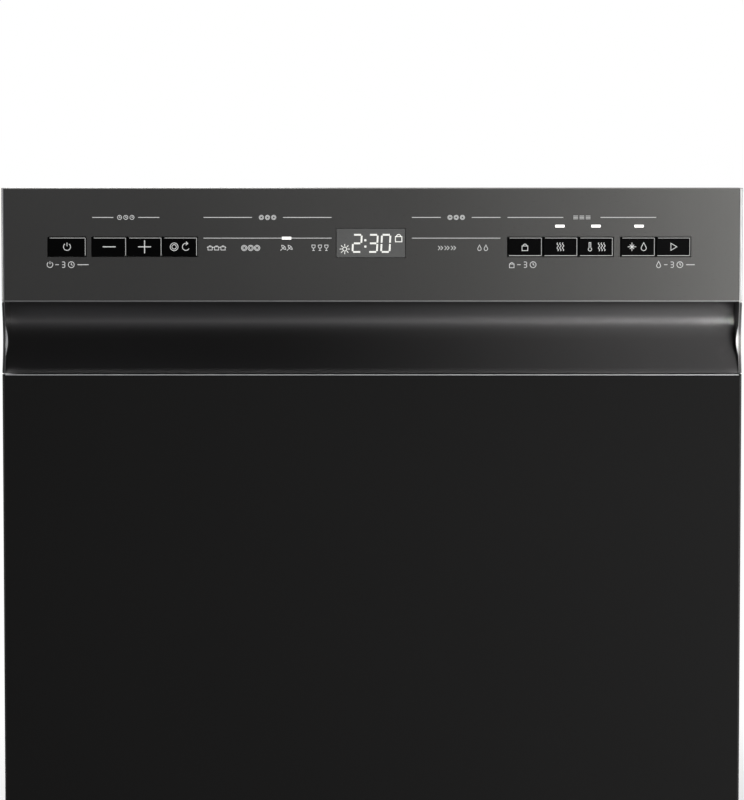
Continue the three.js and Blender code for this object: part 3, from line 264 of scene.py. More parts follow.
class Shell:
    """Collects vertices and faces for one mesh."""

    def __init__(self):
        self.verts = []
        self.faces = []

    def loft(self, rings, caps=True):
        """Skins a list of equally long closed rings of points."""
        start = len(self.verts)
        size = len(rings[0])
        for ring in rings:
            self.verts += [Vector(v) for v in ring]
        for r in range(len(rings) - 1):
            for i in range(size):
                a = start + r * size + i
                b = start + r * size + (i + 1) % size
                self.faces.append((a, b, b + size, a + size))
        if caps:
            end = start + (len(rings) - 1) * size
            self.faces += [tuple(range(first, first + size)) for first in (start, end)]

    def block(self, low, high):
        (x0, y0, z0), (x1, y1, z1) = low, high
        ring = lambda z: [(x0, y0, z), (x1, y0, z), (x1, y1, z), (x0, y1, z)]
        self.loft([ring(z0), ring(z1)])

    def lathe(self, centre, profile, axis, sides):
        """Turns [radius, height] points about an axis through centre."""
        rings = []
        for radius, height in profile:
            ring = []
            for i in range(sides):
                turn = 2 * math.pi * i / sides
                a, b = radius * math.cos(turn), radius * math.sin(turn)
                place = {"x": (height, a, b), "y": (a, height, b), "z": (a, b, height)}[axis]
                ring.append(Vector(place) + Vector(centre))
            rings.append(ring)
        self.loft(rings, caps=profile[0] != profile[-1])

    def tube(self, points, radius, sides, closed=False):
        """A round wire along a path of points."""
        points = [Vector(p) for p in points]
        count = len(points)
        rings = []
        side = None
        for i, point in enumerate(points):
            ahead = points[(i + 1) % count] if closed or i + 1 < count else point
            behind = points[i - 1] if closed or i else point
            along = (ahead - behind).normalized()
            if side is None:
                side = along.orthogonal().normalized()
            side = (side - along * side.dot(along)).normalized()
            other = along.cross(side)
            turns = [2 * math.pi * k / sides for k in range(sides)]
            rings.append([point + (side * math.cos(t) + other * math.sin(t)) * radius for t in turns])
        self.loft(rings + ([rings[0]] if closed else []), caps=not closed)

    def strip(self, points, width, y, closed=False):
        """A flat printed line of even width in the plane at depth y, along [x, z] points."""
        points = [Vector(p) for p in points]
        count = len(points)
        left, right = [], []
        for i, point in enumerate(points):
            ahead = points[(i + 1) % count] if closed or i + 1 < count else None
            behind = points[i - 1] if closed or i else None
            after = (ahead - point).normalized() if ahead is not None else (point - behind).normalized()
            before = (point - behind).normalized() if behind is not None else after
            across = Vector((-(after + before).y, (after + before).x)).normalized()
            stretch = max(0.5, across.dot(Vector((-after.y, after.x))))
            left.append(point + across * width / 2 / stretch)
            right.append(point - across * width / 2 / stretch)
        start = len(self.verts)
        for a, b in zip(left, right):
            self.verts += [Vector((a.x, y, a.y)), Vector((b.x, y, b.y))]
        for i in range(count if closed else count - 1):
            a, b = start + 2 * i, start + 2 * ((i + 1) % count)
            self.faces.append((a, a + 1, b + 1, b))

    def ring(self, centre, section, axis, sides):
        """Turns a closed section of [radius, height] points about an axis."""
        self.lathe(centre, section + section[:1], axis, sides)

    def build(self, name, finish, body, bevel=0.0, segments=2, smooth=True):
        """A new piece of the object that moves with a CAD body."""
        data = mesh_of(name, self.verts, self.faces)
        piece = bpy.data.objects.new(name, data)
        bpy.context.scene.collection.objects.link(piece)
        paint(piece, finish)
        if bevel:
            round_edges(piece, bevel, segments)
        if smooth:
            data.shade_smooth()
            data.set_sharp_from_angle(angle=math.radians(38))
        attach(piece, body)
        return piece

    def stand_in(self, name, finish, body, node, slot, **style):
        """Builds the piece that is shown instead of a CAD node."""
        piece = self.build(name, finish, body, **style)
        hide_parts(node)
        return piece

    def print_on(self, name, finish, body):
        """Builds flat marks, whose faces all look to the front."""
        piece = self.build(name, finish, body, smooth=False)
        built = bmesh.new()
        built.from_mesh(piece.data)
        for face in built.faces:
            if face.normal.y > 0:
                face.normal_flip()
        built.to_mesh(piece.data)
        built.free()


def middle(name):
    low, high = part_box(name)
    return (low + high) / 2


def arc(cx, cz, radius, start, end, steps=20):
    """Points on a circle in [x, z], angles in degrees from +X towards +Z."""
    angles = [math.radians(start + (end - start) * i / steps) for i in range(steps + 1)]
    return [(cx + radius * math.cos(a), cz + radius * math.sin(a)) for a in angles]


def weld(node):
    """Joins the corners that the frame's faces don't share, so that their edges can be rounded."""
    joined = node.modifiers.new("weld", "WELD")
    joined.merge_threshold = 0.000002


def weigh_edges(node, rule, width):
    """Bevels a CAD node's edges, each by the share of width that rule gives for its two ends."""
    data = node.data
    weights = data.attributes.new("bevel_weight_edge", "FLOAT", "EDGE")
    for edge in data.edges:
        a, b = (data.vertices[i].co for i in edge.vertices)
        weights.data[edge.index].value = rule(a, b)
    weld(node)
    round_edges(node, width, 1, "WEIGHT")


def soften(name, width, segments=2):
    """Rounds the sharp edges of a CAD node a little and smooths its curved faces."""
    node = NODES[name]
    weld(node)
    round_edges(node, width, segments)
    node.data.shade_smooth()
    normals = node.modifiers.new("normals", "WEIGHTED_NORMAL")
    normals.keep_sharp = True


# ---------- Door front ----------
SIDE_BEVEL = 0.0023
TRIM_WIDTH = 0.0023
LIP_TOP = 0.0385  # above the recess's floor
LIP_LENGTH = 0.0250
LIP_WIDTH = 0.0018


def same(a, b):
    return abs(a - b) < 1e-5


def front_edge_share(low, high):
    """The bevel rule for a front plate: full at its upright sides, a third along its level edges."""

    def share(a, b):
        if not (same(a.y, FRONT) and same(b.y, FRONT)):
            return 0.0
        if same(abs(a.x), HALF) and same(a.x, b.x):
            return 1.0
        return 0.3 if same(a.z, b.z) and (same(a.z, low) or same(a.z, high)) else 0.0

    return share


def front_edges():
    """Wide chamfers at the sides of the fascia and the door skin, fine ones above and below."""
    weigh_edges(NODES["control_panel"], front_edge_share(FASCIA_BOTTOM, DOOR_TOP), SIDE_BEVEL)
    weigh_edges(NODES["door_panel"], front_edge_share(DOOR_LOW.z, PANEL_TOP), SIDE_BEVEL)


POCKET_DEPTH = 0.040
POCKET_WALL = 0.002
POCKET_RADIUS = 0.022
POCKET_RAMP = 40
POCKET_CURL = 138
POCKET_START = 0.002
POCKET_SCOOP = 0.007
POCKET_TOP = FASCIA_BOTTOM - 0.0008  # the end walls' upper ends
GRIP_LIP = 0.0128  # the end walls' reach under the fascia


def pocket_section(offset, steps=48):
    """The recess's section as [y, z]: a ramp, a bend that curls under the grip lip, and an upright."""
    ramp = math.radians(POCKET_RAMP)
    curl = math.radians(POCKET_CURL)
    radius = POCKET_RADIUS + offset
    start_d = POCKET_START + offset / math.sin(ramp)
    start_z = POCKET_LOW.z
    centre_d = POCKET_DEPTH - POCKET_RADIUS
    run = centre_d + radius * math.sin(ramp) - start_d
    centre_z = start_z + run * math.tan(ramp) + radius * math.cos(ramp)
    points = [(FRONT + start_d, start_z)]
    for i in range(steps + 1):
        angle = ramp + (curl - ramp) * i / steps
        points.append((FRONT + centre_d + radius * math.sin(angle), centre_z - radius * math.cos(angle)))
    points.append((points[-1][0], POCKET_HIGH.z))
    return points


def scooped_edge(steps=24):
    """The end walls' hollowed front edge, from the top down, as [y, z]."""
    drop = (POCKET_LOW.z - POCKET_TOP) / steps
    scoop = [POCKET_SCOOP * math.sin(math.pi * i / steps) for i in range(steps + 1)]
    return [(FRONT + depth, POCKET_TOP + drop * i) for i, depth in enumerate(scoop)]


def handle_pocket():
    """The recess as one fine curved sheet between two end walls with scooped front edges."""
    shell = Shell()
    outline = pocket_section(0) + pocket_section(POCKET_WALL)[::-1]
    inner = HALF - 0.0015
    stations = [-inner, -inner / 2, 0, inner / 2, inner]
    shell.loft([[(x, y, z) for y, z in outline] for x in stations])
    lip = FRONT + GRIP_LIP
    end = scooped_edge() + pocket_section(POCKET_WALL)[1:] + [(lip, POCKET_HIGH.z), (lip, POCKET_TOP)]
    for side in (-1, 1):
        xs = [side * HALF, side * (HALF - TRIM_WIDTH)]
        shell.loft([[(x, y, z) for y, z in end] for x in xs])
    return shell.stand_in("pocket_sheet", "pocket", "door", "handle_pocket", "pocket_plastic", bevel=0.0005)


def front_trims():
    """The steel hems along the fascia's lower edge and the door skin's upper edge: the fascia's in a darker
    copy of the steel as painted shade, the door's in a brighter copy as painted highlight.
    """
    for name, z, tall, finish in (
        ("fascia_hem", FASCIA_BOTTOM + 0.0005, 0.0018, "hem_shaded_copy"),
        ("door_hem", PANEL_TOP - 0.00045, 0.0011, "hem_lit_copy"),
    ):
        shell = Shell()
        profile = [
            (FRONT + 0.0003 - 0.0003 * math.sin(math.pi * t / 6), z - tall / 2 * math.cos(math.pi * t / 6))
            for t in range(7)
        ]
        profile += [(FRONT + 0.0015, z + tall / 2), (FRONT + 0.0015, z - tall / 2)]
        reach = HALF - SIDE_BEVEL
        shell.loft([[(x, y, level) for y, level in profile] for x in (-reach, 0, reach)])
        shell.build(name, finish, "door")


def side_trims():
    """The rounded metal edges at both ends of the fascia, which run on down the recess's end walls."""
    path = [(FRONT, DOOR_TOP - 0.0004), (FRONT, FASCIA_BOTTOM)] + scooped_edge()
    shell = Shell()
    for side in (-1, 1):
        rings = []
        for y, z in path:
            turns = [i * math.pi / 12 for i in range(7)]
            corner = [(TRIM_WIDTH * math.sin(t), TRIM_WIDTH * (1 - math.cos(t))) for t in turns]
            ring = [(side * (HALF - TRIM_WIDTH + a), y + b, z) for a, b in corner]
            rings.append(ring + [(side * (HALF - TRIM_WIDTH), y + TRIM_WIDTH, z)])
        shell.loft(rings)
    shell.build("side_trims", "trim", "door")


def recess_end_lips():
    """The crescents where the recess's end walls turn outwards."""
    tall = POCKET_TOP - POCKET_LOW.z
    shell = Shell()
    outer = HALF - TRIM_WIDTH + 0.0004
    for side in (-1, 1):
        rings = []
        for i in range(15):
            z = LIP_TOP - LIP_LENGTH * i / 14
            y = FRONT + POCKET_SCOOP * math.sin(math.pi * z / tall) + 0.0006
            inner = outer - 0.0003 - LIP_WIDTH * math.sin(math.pi * i / 14)
            section = [(inner, 0), (outer, 0), (outer, 0.001), (inner, 0.001)]
            rings.append([(side * x, y + back, POCKET_LOW.z + z) for x, back in section])
        shell.loft(rings)
    # The lips take the lighter copy of the hem steel, a painted highlight.
    shell.build("recess_end_lips", "hem_lit_copy", "door")


def trim_gap_shadows():
    """Painted shadow: flat dark lines drawn between the fascia and its side trims, where a groove's shade
    would fall.
    """
    shell = Shell()
    for side in (-1, 1):
        x = side * (HALF - TRIM_WIDTH - 0.0002)
        shell.strip([(x, DOOR_TOP - 0.0005), (x, FASCIA_BOTTOM + 0.0015)], 0.0005, FRONT - INK)
    # Drawn flat in dark plastic as a painted shadow.
    shell.print_on("trim_gap_shadows", "dark", "door")


def keys():
    for name, node in NODES.items():
        if name.startswith("button_"):
            paint(node, "key")
            soften(name, 0.0006, 3)


# ---------- Printed marks ----------
def ray(angle, start, end):
    """A straight line out from the centre at an angle in degrees."""
    x, z = math.cos(math.radians(angle)), math.sin(math.radians(angle))
    return [(start * x, start * z), (end * x, end * z)]


def wave(x):
    return [(x + 0.09 * math.sin(t * 1.05), -0.5 + t / 12) for t in range(13)]


FLAT = [(-0.5, 0), (0.5, 0)]
UPRIGHT = [(0, -0.5), (0, 0.5)]
ICONS = {
    "power": [arc(0, 0, 0.42, 125, 415, 24), [(0, 0.08), (0, 0.5)]],
    "minus": [FLAT],
    "plus": [FLAT, UPRIGHT],
    "cycle": [arc(0, 0, 0.42, 60, 330, 24), [(0.02, 0.62), (0.22, 0.38), (-0.02, 0.2)]],
    "lock": [
        arc(0, 0.1, 0.22, 0, 180, 12),
        [(-0.34, 0.1), (0.34, 0.1), (0.34, -0.45), (-0.34, -0.45), (-0.34, 0.1)],
    ],
    "heat": [wave(x) for x in (-0.32, 0, 0.32)],
    "hot": [arc(0, -0.3, 0.2, 120, 420, 18), [(-0.1, -0.12), (-0.1, 0.5), (0.1, 0.5), (0.1, -0.12)]],
    "drop": [arc(0, -0.15, 0.3, 160, 380, 16) + [(0, 0.5)] + arc(0, -0.15, 0.3, 160, 160, 1)[:1]],
    "sparkle": [UPRIGHT, FLAT, ray(45, -0.35, 0.35), ray(135, -0.35, 0.35)],
    "play": [[(-0.28, -0.42), (0.42, 0), (-0.28, 0.42), (-0.28, -0.42)]],
    "clock": [arc(0, 0, 0.44, 0, 360, 24), [(0, 0.3), (0, 0), (0.2, -0.1)]],
    "plate": [arc(0, 0, 0.46, 0, 360, 24), arc(0, 0, 0.26, 0, 360, 20)],
    "pot": [
        [(-0.36, 0.2), (-0.36, -0.35), (0.36, -0.35), (0.36, 0.2), (-0.36, 0.2)],
        [(-0.55, 0.1), (-0.36, 0.1)],
        [(0.36, 0.1), (0.55, 0.1)],
        [(-0.2, 0.34), (0.2, 0.34)],
    ],
    "leaf": [
        arc(-0.25, -0.25, 0.7, 0, 90, 14) + arc(0.45, 0.45, 0.7, 180, 270, 14),
        [(-0.45, -0.45), (0.2, 0.2)],
    ],
    "glass": [
        arc(0, 0.25, 0.28, 180, 360, 12) + [(0.28, 0.5), (-0.28, 0.5), (-0.28, 0.25)],
        [(0, -0.03), (0, -0.42)],
        [(-0.22, -0.42), (0.22, -0.42)],
    ],
    "fast": [[(x, 0.35), (x + 0.35, 0), (x, -0.35)] for x in (-0.4, 0.05)],
    "sun": [arc(0, 0, 0.2, 0, 360, 16)] + [ray(45 * k, 0.3, 0.5) for k in range(8)],
    "list": [[(-0.5, z), (0.5, z)] for z in (0.3, 0, -0.3)],
}


def stamp(shell, icon, x, z, size, y, line=0.00042):
    """Draws one pictogram, size metres tall, centred at x and z."""
    for path in ICONS[icon]:
        closed = len(path) > 2 and (Vector(path[0]) - Vector(path[-1])).length < 1e-6
        points = [(x + px * size, z + pz * size) for px, pz in (path[:-1] if closed else path)]
        shell.strip(points, line, y, closed=closed)


KEY_ICONS = {
    "power": ["power"],
    "delay_minus": ["minus"],
    "delay_plus": ["plus"],
    "cycles": ["plate", "cycle"],
    "control_lock": ["lock"],
    "heated_dry": ["heat"],
    "high_temperature": ["hot", "heat"],
    "sanitize": ["sparkle", "drop"],
    "start": ["play"],
}


def key_marks():
    """Pictograms on the keys, each on its own key."""
    for key, icons in KEY_ICONS.items():
        x, _, z = middle(f"button_{key}")
        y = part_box(f"button_{key}")[0].y - INK
        shell = Shell()
        big = key in ("delay_minus", "delay_plus")
        size = 0.0105 if big else 0.0068
        for i, icon in enumerate(icons):
            shift = (i - (len(icons) - 1) / 2) * 0.0095
            stamp(shell, icon, x + shift, z, size, y, 0.0008 if big else 0.0006)
        shell.print_on(f"mark_{key}", "glowing_ink", f"button_{key}")


def painted_key_highlights():
    """Painted highlights on the keys' edges: thin glowing strips along the top and the right, and on the
    right-hand keys the bottom too.
    """
    for name in sorted(NODES):
        if not name.startswith("button_"):
            continue
        low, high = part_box(name)
        y = low.y - INK
        shell = Shell()
        inset, line = 0.0007, 0.00042
        top, right = high.z - inset, high.x - inset
        shell.strip([(low.x + 0.0016, top), (right, top)], line, y)
        shell.strip([(right, top), (right, low.z + inset)], line, y)
        if low.x > 0:
            shell.strip([(low.x + 0.0012, low.z + inset), (right, low.z + inset)], line * 1.2, y)
        # Painted highlight strips, one piece for each key.
        shell.print_on(name.replace("button", "rim"), "key_painted_highlight", name)


LAMP_LINE = 0.0307  # the lamp slots' centre below the door top
HEADING_LINE = 0.0237
MARK_LINE = 0.0483
RULE_LINE = 0.0404
NOTE_LINE = 0.0618


LEFT, RIGHT = -HALF, HALF
PRINT_LINE = 0.0006
HEADINGS = [
    (LEFT + 0.0734, LEFT + 0.1275, "clock", 0.0140),
    (LEFT + 0.1631, LEFT + 0.2664, "plate", 0.0190),
    (0.0322, RIGHT - 0.1954, "plate", 0.0190),
    (RIGHT - 0.1897, RIGHT - 0.0698, "list", 0.0240),
]
RULES = [(LEFT + 0.1631, LEFT + 0.2262), (LEFT + 0.2340, LEFT + 0.2664), (0.0322, RIGHT - 0.1954)]
CYCLE_MARKS = [
    (LEFT + 0.1736, "pot", 3),
    (LEFT + 0.2011, "plate", 3),
    (LEFT + 0.2299, "leaf", 2),
    (LEFT + 0.2570, "glass", 3),
    (0.0604, "fast", 3),
    (0.0893, "drop", 2),
]
NOTES = [
    (LEFT + 0.0363, "power", 0.034),
    (RIGHT - 0.1890, "lock", 0.026),
    (RIGHT - 0.0705, "drop", 0.032),
]


def group_headings(shell, y):
    """Each group's heading, with a line on either side of it."""
    level = DOOR_TOP - HEADING_LINE
    for x0, x1, icon, gap in HEADINGS:
        centre = (x0 + x1) / 2
        shell.strip([(x0, level), (centre - gap / 2 - 0.003, level)], PRINT_LINE, y)
        shell.strip([(centre + gap / 2 + 0.003, level), (x1, level)], PRINT_LINE, y)
        for shift in (-0.005, 0, 0.005):
            stamp(shell, icon, centre + shift, level, 0.0038, y, 0.0005)


def cycle_rows(shell, y):
    """The rules under the headings and the cycle marks under them."""
    for x0, x1 in RULES:
        level = DOOR_TOP - RULE_LINE
        shell.strip([(x0, level), (x1, level)], PRINT_LINE * 0.9, y)
    for x, icon, count in CYCLE_MARKS:
        for i in range(count):
            place = x + (i - (count - 1) / 2) * 0.0052
            stamp(shell, icon, place, DOOR_TOP - MARK_LINE, 0.0047, y, 0.00055)


def key_notes(shell, y):
    """The small notes under the keys: a pictogram, a three and a clock."""
    level = DOOR_TOP - NOTE_LINE
    for start, icon, width in NOTES:
        stamp(shell, icon, start + 0.0028, level, 0.0054, y, 0.00058)
        shell.strip([(start + 0.0072, level), (start + 0.0100, level)], 0.0006, y)
        digit(shell, "3", start + 0.0124, level - 0.0022, 0.0024, 0.0044, y, 0.0, 0.00062)
        stamp(shell, "clock", start + 0.0200, level, 0.0054, y, 0.00058)
        if width > 0.03:
            shell.strip([(start + 0.0250, level), (start + width, level)], 0.0007, y)


def fascia_marks():
    shell = Shell()
    for draw in (group_headings, cycle_rows, key_notes):
        draw(shell, FRONT - INK)
    shell.print_on("fascia_marks", "glowing_ink", "door")


def lamps():
    """The small light slots over the option keys and between the cycle rules."""
    rule = DOOR_TOP - RULE_LINE
    slot = DOOR_TOP - LAMP_LINE
    places = [(HALF - 0.1475, slot), (HALF - 0.1184, slot), (HALF - 0.0836, slot), (-HALF + 0.2301, rule)]
    shell = Shell()
    for x, z in places:
        shell.block((x - 0.0037, FRONT - INK, z - 0.0010), (x + 0.0037, FRONT + 0.0004, z + 0.0010))
    shell.build("cycle_lamps", "lamp", "door")


SEGMENTS = {"0": "abcdef", "2": "abged", "3": "abgcd"}
STROKES = {
    "a": [(0.08, 1), (0.92, 1)],
    "b": [(1, 0.95), (1, 0.54)],
    "c": [(1, 0.46), (1, 0.05)],
    "d": [(0.08, 0), (0.92, 0)],
    "e": [(0, 0.05), (0, 0.46)],
    "f": [(0, 0.54), (0, 0.95)],
    "g": [(0.12, 0.5), (0.88, 0.5)],
}


def digit(shell, character, x, z, width, height, y, lean=0.05, stroke=0.0014):
    """One seven-segment digit with its lower left corner at x and z."""
    half = height / 2
    for part in SEGMENTS[character]:
        ends = [(x + px * width + lean * (pz * height - half), z + pz * height) for px, pz in STROKES[part]]
        shell.strip(ends, stroke, y)


def display():
    """The clock digits and two state icons on the smoked window."""
    low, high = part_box("display_window")
    y = low.y - INK
    shell = Shell()
    height, width = 0.0138, 0.0068
    base = middle("display_window").z - height / 2 - 0.0003
    for character, shift in (("2", 0.0133), ("3", 0.0262), ("0", 0.0364)):
        digit(shell, character, low.x + shift, base, width, height, y)
    for rise in (0.0043, 0.0094):
        shell.strip([(low.x + 0.0233, base + rise + half) for half in (-0.0008, 0.0008)], 0.0017, y)
    stamp(shell, "sun", low.x + 0.0067, low.z + 0.0067, 0.0082, y, 0.0006)
    stamp(shell, "lock", high.x - 0.0052, high.z - 0.0072, 0.0076, y, 0.0007)
    shell.print_on("display_digits", "digit", "door")


# ---------- Racks ----------
RACK_HALF = 0.240
WIRE_RADIUS = 0.0019
RIM_RADIUS = 0.0023
AXLE_RADIUS = 0.0039
RING_SHARE = 0.45  # the height of a rack's middle ring, as a share of the rack's


def rack_frame(name):
    """Front, back and rim of a rack, to the middle of its outer wires."""
    low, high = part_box(name)
    return low.y + 0.004, high.y - 0.004, high.z - 0.002


def bent_wire(low, high, floor, rim, place, radius=0.012):
    """A U-shaped wire with rounded corners; place turns [along, z] into a point."""
    bend = [math.radians(180 + 15 * i) for i in range(7)]
    left = [(low + radius + radius * math.cos(t), floor + radius + radius * math.sin(t)) for t in bend]
    right = [(high + low - a, z) for a, z in reversed(left)]
    return [place(a, z) for a, z in [(low, rim)] + left + right + [(high, rim)]]


def ring_path(front, back, z, half, radius=0.02):
    """A rounded rectangle at one height, from front to back and half to either side."""
    corners = [(half, back, 0), (-half, back, 90), (-half, front, 180), (half, front, 270)]
    path = []
    for x, y, turn in corners:
        cx = x - math.copysign(radius, x)
        cy = y - radius if y == back else y + radius
        for i in range(7):
            t = math.radians(turn + 15 * i)
            path.append((cx + radius * math.cos(t), cy + radius * math.sin(t), z))
    return path


def plate_span(side):
    """The thickness of a rack's side plate, as two x positions in order."""
    return sorted((side * (RACK_HALF - 0.003), side * (RACK_HALF - 0.0003)))


def stub(shell, y, z, side, reach):
    """A short axle from a side plate out to reach."""
    shell.lathe((0, y, z), [(AXLE_RADIUS, side * (RACK_HALF - 0.002)), (AXLE_RADIUS, side * reach)], "x", 16)


def spread(count, low, high):
    """Evenly spaced positions, ends included."""
    return [low + (high - low) * i / (count - 1) for i in range(count)]


def wire_basket(shell, front, back, floor, rim):
    """A basket of bent wires both ways, with a rim and one ring lower down."""
    half = RACK_HALF - 0.002
    for y in spread(7, front + 0.031, back - 0.031):
        shell.tube(bent_wire(-half, half, floor + 0.002, rim, lambda a, z, y=y: (a, y, z)), WIRE_RADIUS, 8)
    for x in spread(8, -half + 0.030, half - 0.030):
        shell.tube(bent_wire(front, back, floor + 0.005, rim, lambda a, z, x=x: (x, a, z)), WIRE_RADIUS, 8)
    middle_ring = floor + (rim + 0.002 - floor) * RING_SHARE + 0.002
    for z in (rim, middle_ring):
        shell.tube(ring_path(front, back, z, RACK_HALF + 0.0005), RIM_RADIUS, 8, closed=True)


def tines(shell, xs, ys, base, height, lean=0.006):
    """Rows of plate pins that lean back a little towards their tips."""
    for y in ys:
        for x in xs:
            steps = [(x, y + lean * t * t, base + height * t) for t in (0, 0.25, 0.5, 0.75, 0.95, 1.0)]
            shell.tube(steps, 0.0015, 6)


def lower_rack():
    front, back, rim = rack_frame("lower_rack")
    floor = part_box("silverware_basket")[0].z - 0.0074
    shell = Shell()
    wire_basket(shell, front, back, floor, rim)
    rows = spread(4, front + 0.125, back - 0.045)
    tines(shell, spread(15, -0.205, 0.205), rows, floor + 0.004, 0.068)
    for x in (-0.205, 0.205):
        for y in rows:
            shell.tube([(x, y, floor + 0.004), (x, y, floor + 0.07)], WIRE_RADIUS, 6)
    for y in rows:
        shell.tube([(side * (RACK_HALF - 0.006), y, floor + 0.0075) for side in (-1, 1)], WIRE_RADIUS, 8)
    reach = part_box("wheel_front_right")[1].x
    plate_top = floor + (rim + 0.002 - floor) * RING_SHARE
    for name in ("wheel_front_right", "wheel_rear_right"):
        _, y, z = middle(name)
        for side in (-1, 1):
            inner, outer = plate_span(side)
            shell.block((inner, y - 0.02, z - 0.008), (outer, y + 0.02, plate_top))
            stub(shell, y, z, side, reach)
    shell.stand_in("lower_rack_wires", "wire", "lower_rack", "lower_rack", "rack_coating")
    grip = Shell()
    grip.tube([(x, front - 0.0005, rim - 0.0002) for x in (-0.07, -0.066, 0, 0.066, 0.07)], 0.0032, 12)
    grip.build("lower_rack_grip", "grey", "lower_rack")


def upper_rack():
    front, back, rim = rack_frame("upper_rack")
    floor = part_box("upper_rack")[0].z
    shell = Shell()
    wire_basket(shell, front, back, floor, rim)
    rows = spread(4, front + 0.06, back - 0.06)
    tines(shell, spread(11, -0.150, 0.150), rows, floor + 0.004, 0.045, 0.003)
    z = middle("rail_right").z
    rollers = Shell()
    roller = [(0.0041, 0.0150), (0.0088, 0.0150), (0.0102, 0.0158)]
    roller += [(radius, 0.0370 - x) for radius, x in roller[::-1]]
    for y in (front + 0.110, back - 0.039):
        for side in (-1, 1):
            inner, outer = plate_span(side)
            shell.block((inner, y - 0.016, z - 0.014), (outer, y + 0.016, z + 0.014))
            stub(shell, y, z, side, RACK_HALF + 0.0205)
            rollers.ring((0, y, z), [(radius, side * (RACK_HALF + x)) for radius, x in roller], "x", 28)
    shell.stand_in("upper_rack_wires", "wire", "upper_rack", "upper_rack", "rack_coating")
    rollers.build("upper_rack_rollers", "dark", "upper_rack")


def cup_shelves():
    """Four wire shelves along the sides of the upper rack."""
    front, back, rim = rack_frame("upper_rack")
    shelves = Shell()
    for side in (-1, 1):
        for y0, y1 in ((front + 0.05, front + 0.21), (back - 0.21, back - 0.05)):
            path = [(y0, 0.008), (y0, 0.085), (y1, 0.085), (y1, 0.008)]
            shelves.tube([(side * (RACK_HALF - d), y, rim - 0.025) for y, d in path], 0.0021, 8)
            for y in spread(7, y0 + 0.012, y1 - 0.012):
                shelves.tube([(side * (RACK_HALF - d), y, rim - 0.025) for d in (0.008, 0.085)], 0.0015, 6)
            inner, outer = sorted((side * (RACK_HALF - 0.004), side * (RACK_HALF - 0.012)))
            shelves.block((inner, y0 - 0.004, rim - 0.03), (outer, y1 + 0.004, rim - 0.02))
    shelves.build("upper_rack_cup_shelves", "grey", "upper_rack")


def spokes(shell, centre, radius, half):
    """Six flat spokes from the hub to the rim."""
    for i in range(6):
        turn = math.pi * i / 3
        along = Vector((0, math.cos(turn), math.sin(turn)))
        across = Vector((0, -math.sin(turn), math.cos(turn))) * 0.0012
        width = Vector((half, 0, 0))
        corners = [across - width, across + width, width - across, -across - width]
        ends = [centre + along * reach for reach in (0.008, radius - 0.0045)]
        shell.loft([[end + corner for corner in corners] for end in ends])


def rack_wheels():
    """Spoked wheels: a rolling rim, a thin web and a hub."""
    for name in ("wheel_front_left", "wheel_front_right", "wheel_rear_left", "wheel_rear_right"):
        low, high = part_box(name)
        centre = middle(name)
        radius = (high.z - low.z) / 2
        half = (high.x - low.x) / 2
        shell = Shell()
        rim = [(radius - 0.005, -half), (radius - 0.001, -half), (radius, -half + 0.0015)]
        rim += [(r, -x) for r, x in rim[::-1]]
        shell.ring(centre, rim, "x", 48)
        hub = [(0.0044, -half), (0.0085, -half), (0.0085, half), (0.0044, half)]
        shell.ring(centre, hub, "x", 32)
        web = [(0.0080, -0.001), (radius - 0.0045, -0.001), (radius - 0.0045, 0.001), (0.0080, 0.001)]
        shell.ring(centre, web, "x", 48)
        spokes(shell, centre, radius, half - 0.001)
        shell.stand_in(f"{name}_spoked", "grey", name, name, "grey_plastic")


def carrying_bar(shell, x, start, bend, y):
    """A bar over the basket: two uprights with a rounded corner on each."""
    bar = [(x, start), (x, bend)]
    for t in (0.4, 0.8, 1.2, 1.5):
        bar.append((x + 0.009 * (1 - math.cos(t)), bend + 0.009 * math.sin(t)))
    path = bar + [(-px, z) for px, z in reversed(bar)]
    shell.tube([(px, y, z) for px, z in path], 0.0029, 12)


def cutlery_basket():
    """A lattice basket: posts, slotted walls, a slotted floor and the carrying bar."""
    node = "silverware_basket"
    low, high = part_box(node)
    body_top = high.z - 0.046
    shell = Shell()
    wall = 0.002
    for x in spread(4, low.x, high.x - wall):
        for y in spread(8, low.y, high.y - 0.003):
            shell.block((x, y, low.z), (x + wall, y + 0.003, body_top))
        for z in spread(6, low.z, body_top - 0.004):
            shell.block((x + 0.0003, low.y + 0.0003, z), (x + wall - 0.0003, high.y - 0.0003, z + 0.004))
    for y in (low.y, high.y - wall):
        for x in spread(25, low.x, high.x - 0.003):
            shell.block((x, y, low.z), (x + 0.003, y + wall, body_top))
        for z in spread(6, low.z, body_top - 0.004):
            shell.block((low.x + 0.0003, y + 0.0003, z), (high.x - 0.0003, y + wall - 0.0003, z + 0.004))
    for y in spread(9, low.y + 0.001, high.y - 0.004):
        shell.block((low.x + 0.001, y, low.z + 0.0002), (high.x - 0.001, y + 0.003, low.z + wall))
    for x in spread(25, low.x, high.x - 0.003):
        shell.block((x, low.y + 0.001, low.z + 0.0004), (x + 0.003, high.y - 0.001, low.z + wall + 0.0002))
    carrying_bar(shell, low.x + 0.0035, body_top - 0.03, high.z - 0.012, middle(node).y)
    shell.stand_in("cutlery_lattice", "grey", node, node, "grey_plastic", bevel=0.0004, segments=1)


# ---------- Wash system ----------
HEATER_RADIUS = 0.175


def blade_ring(share, side, reach, y, z):
    """The blade's section at a share of its length: a rounded oblong that narrows and closes at the tip."""
    tip = math.sqrt(max(0.0, 1 - max(0.0, (share - 0.88) / 0.12) ** 2))
    half_width = (0.0225 - 0.0085 * share) * max(tip, 0.06)
    half_height = 0.0049 * max(tip, 0.1)
    x = side * (0.010 + (reach - 0.0105) * share)
    ring = []
    for k in range(24):
        a, b = math.cos(math.pi * k / 12), math.sin(math.pi * k / 12)
        wide = half_width * math.copysign(abs(a) ** 0.7, a)
        ring.append((x, y + wide, z + half_height * math.copysign(abs(b) ** 0.6, b)))
    return ring


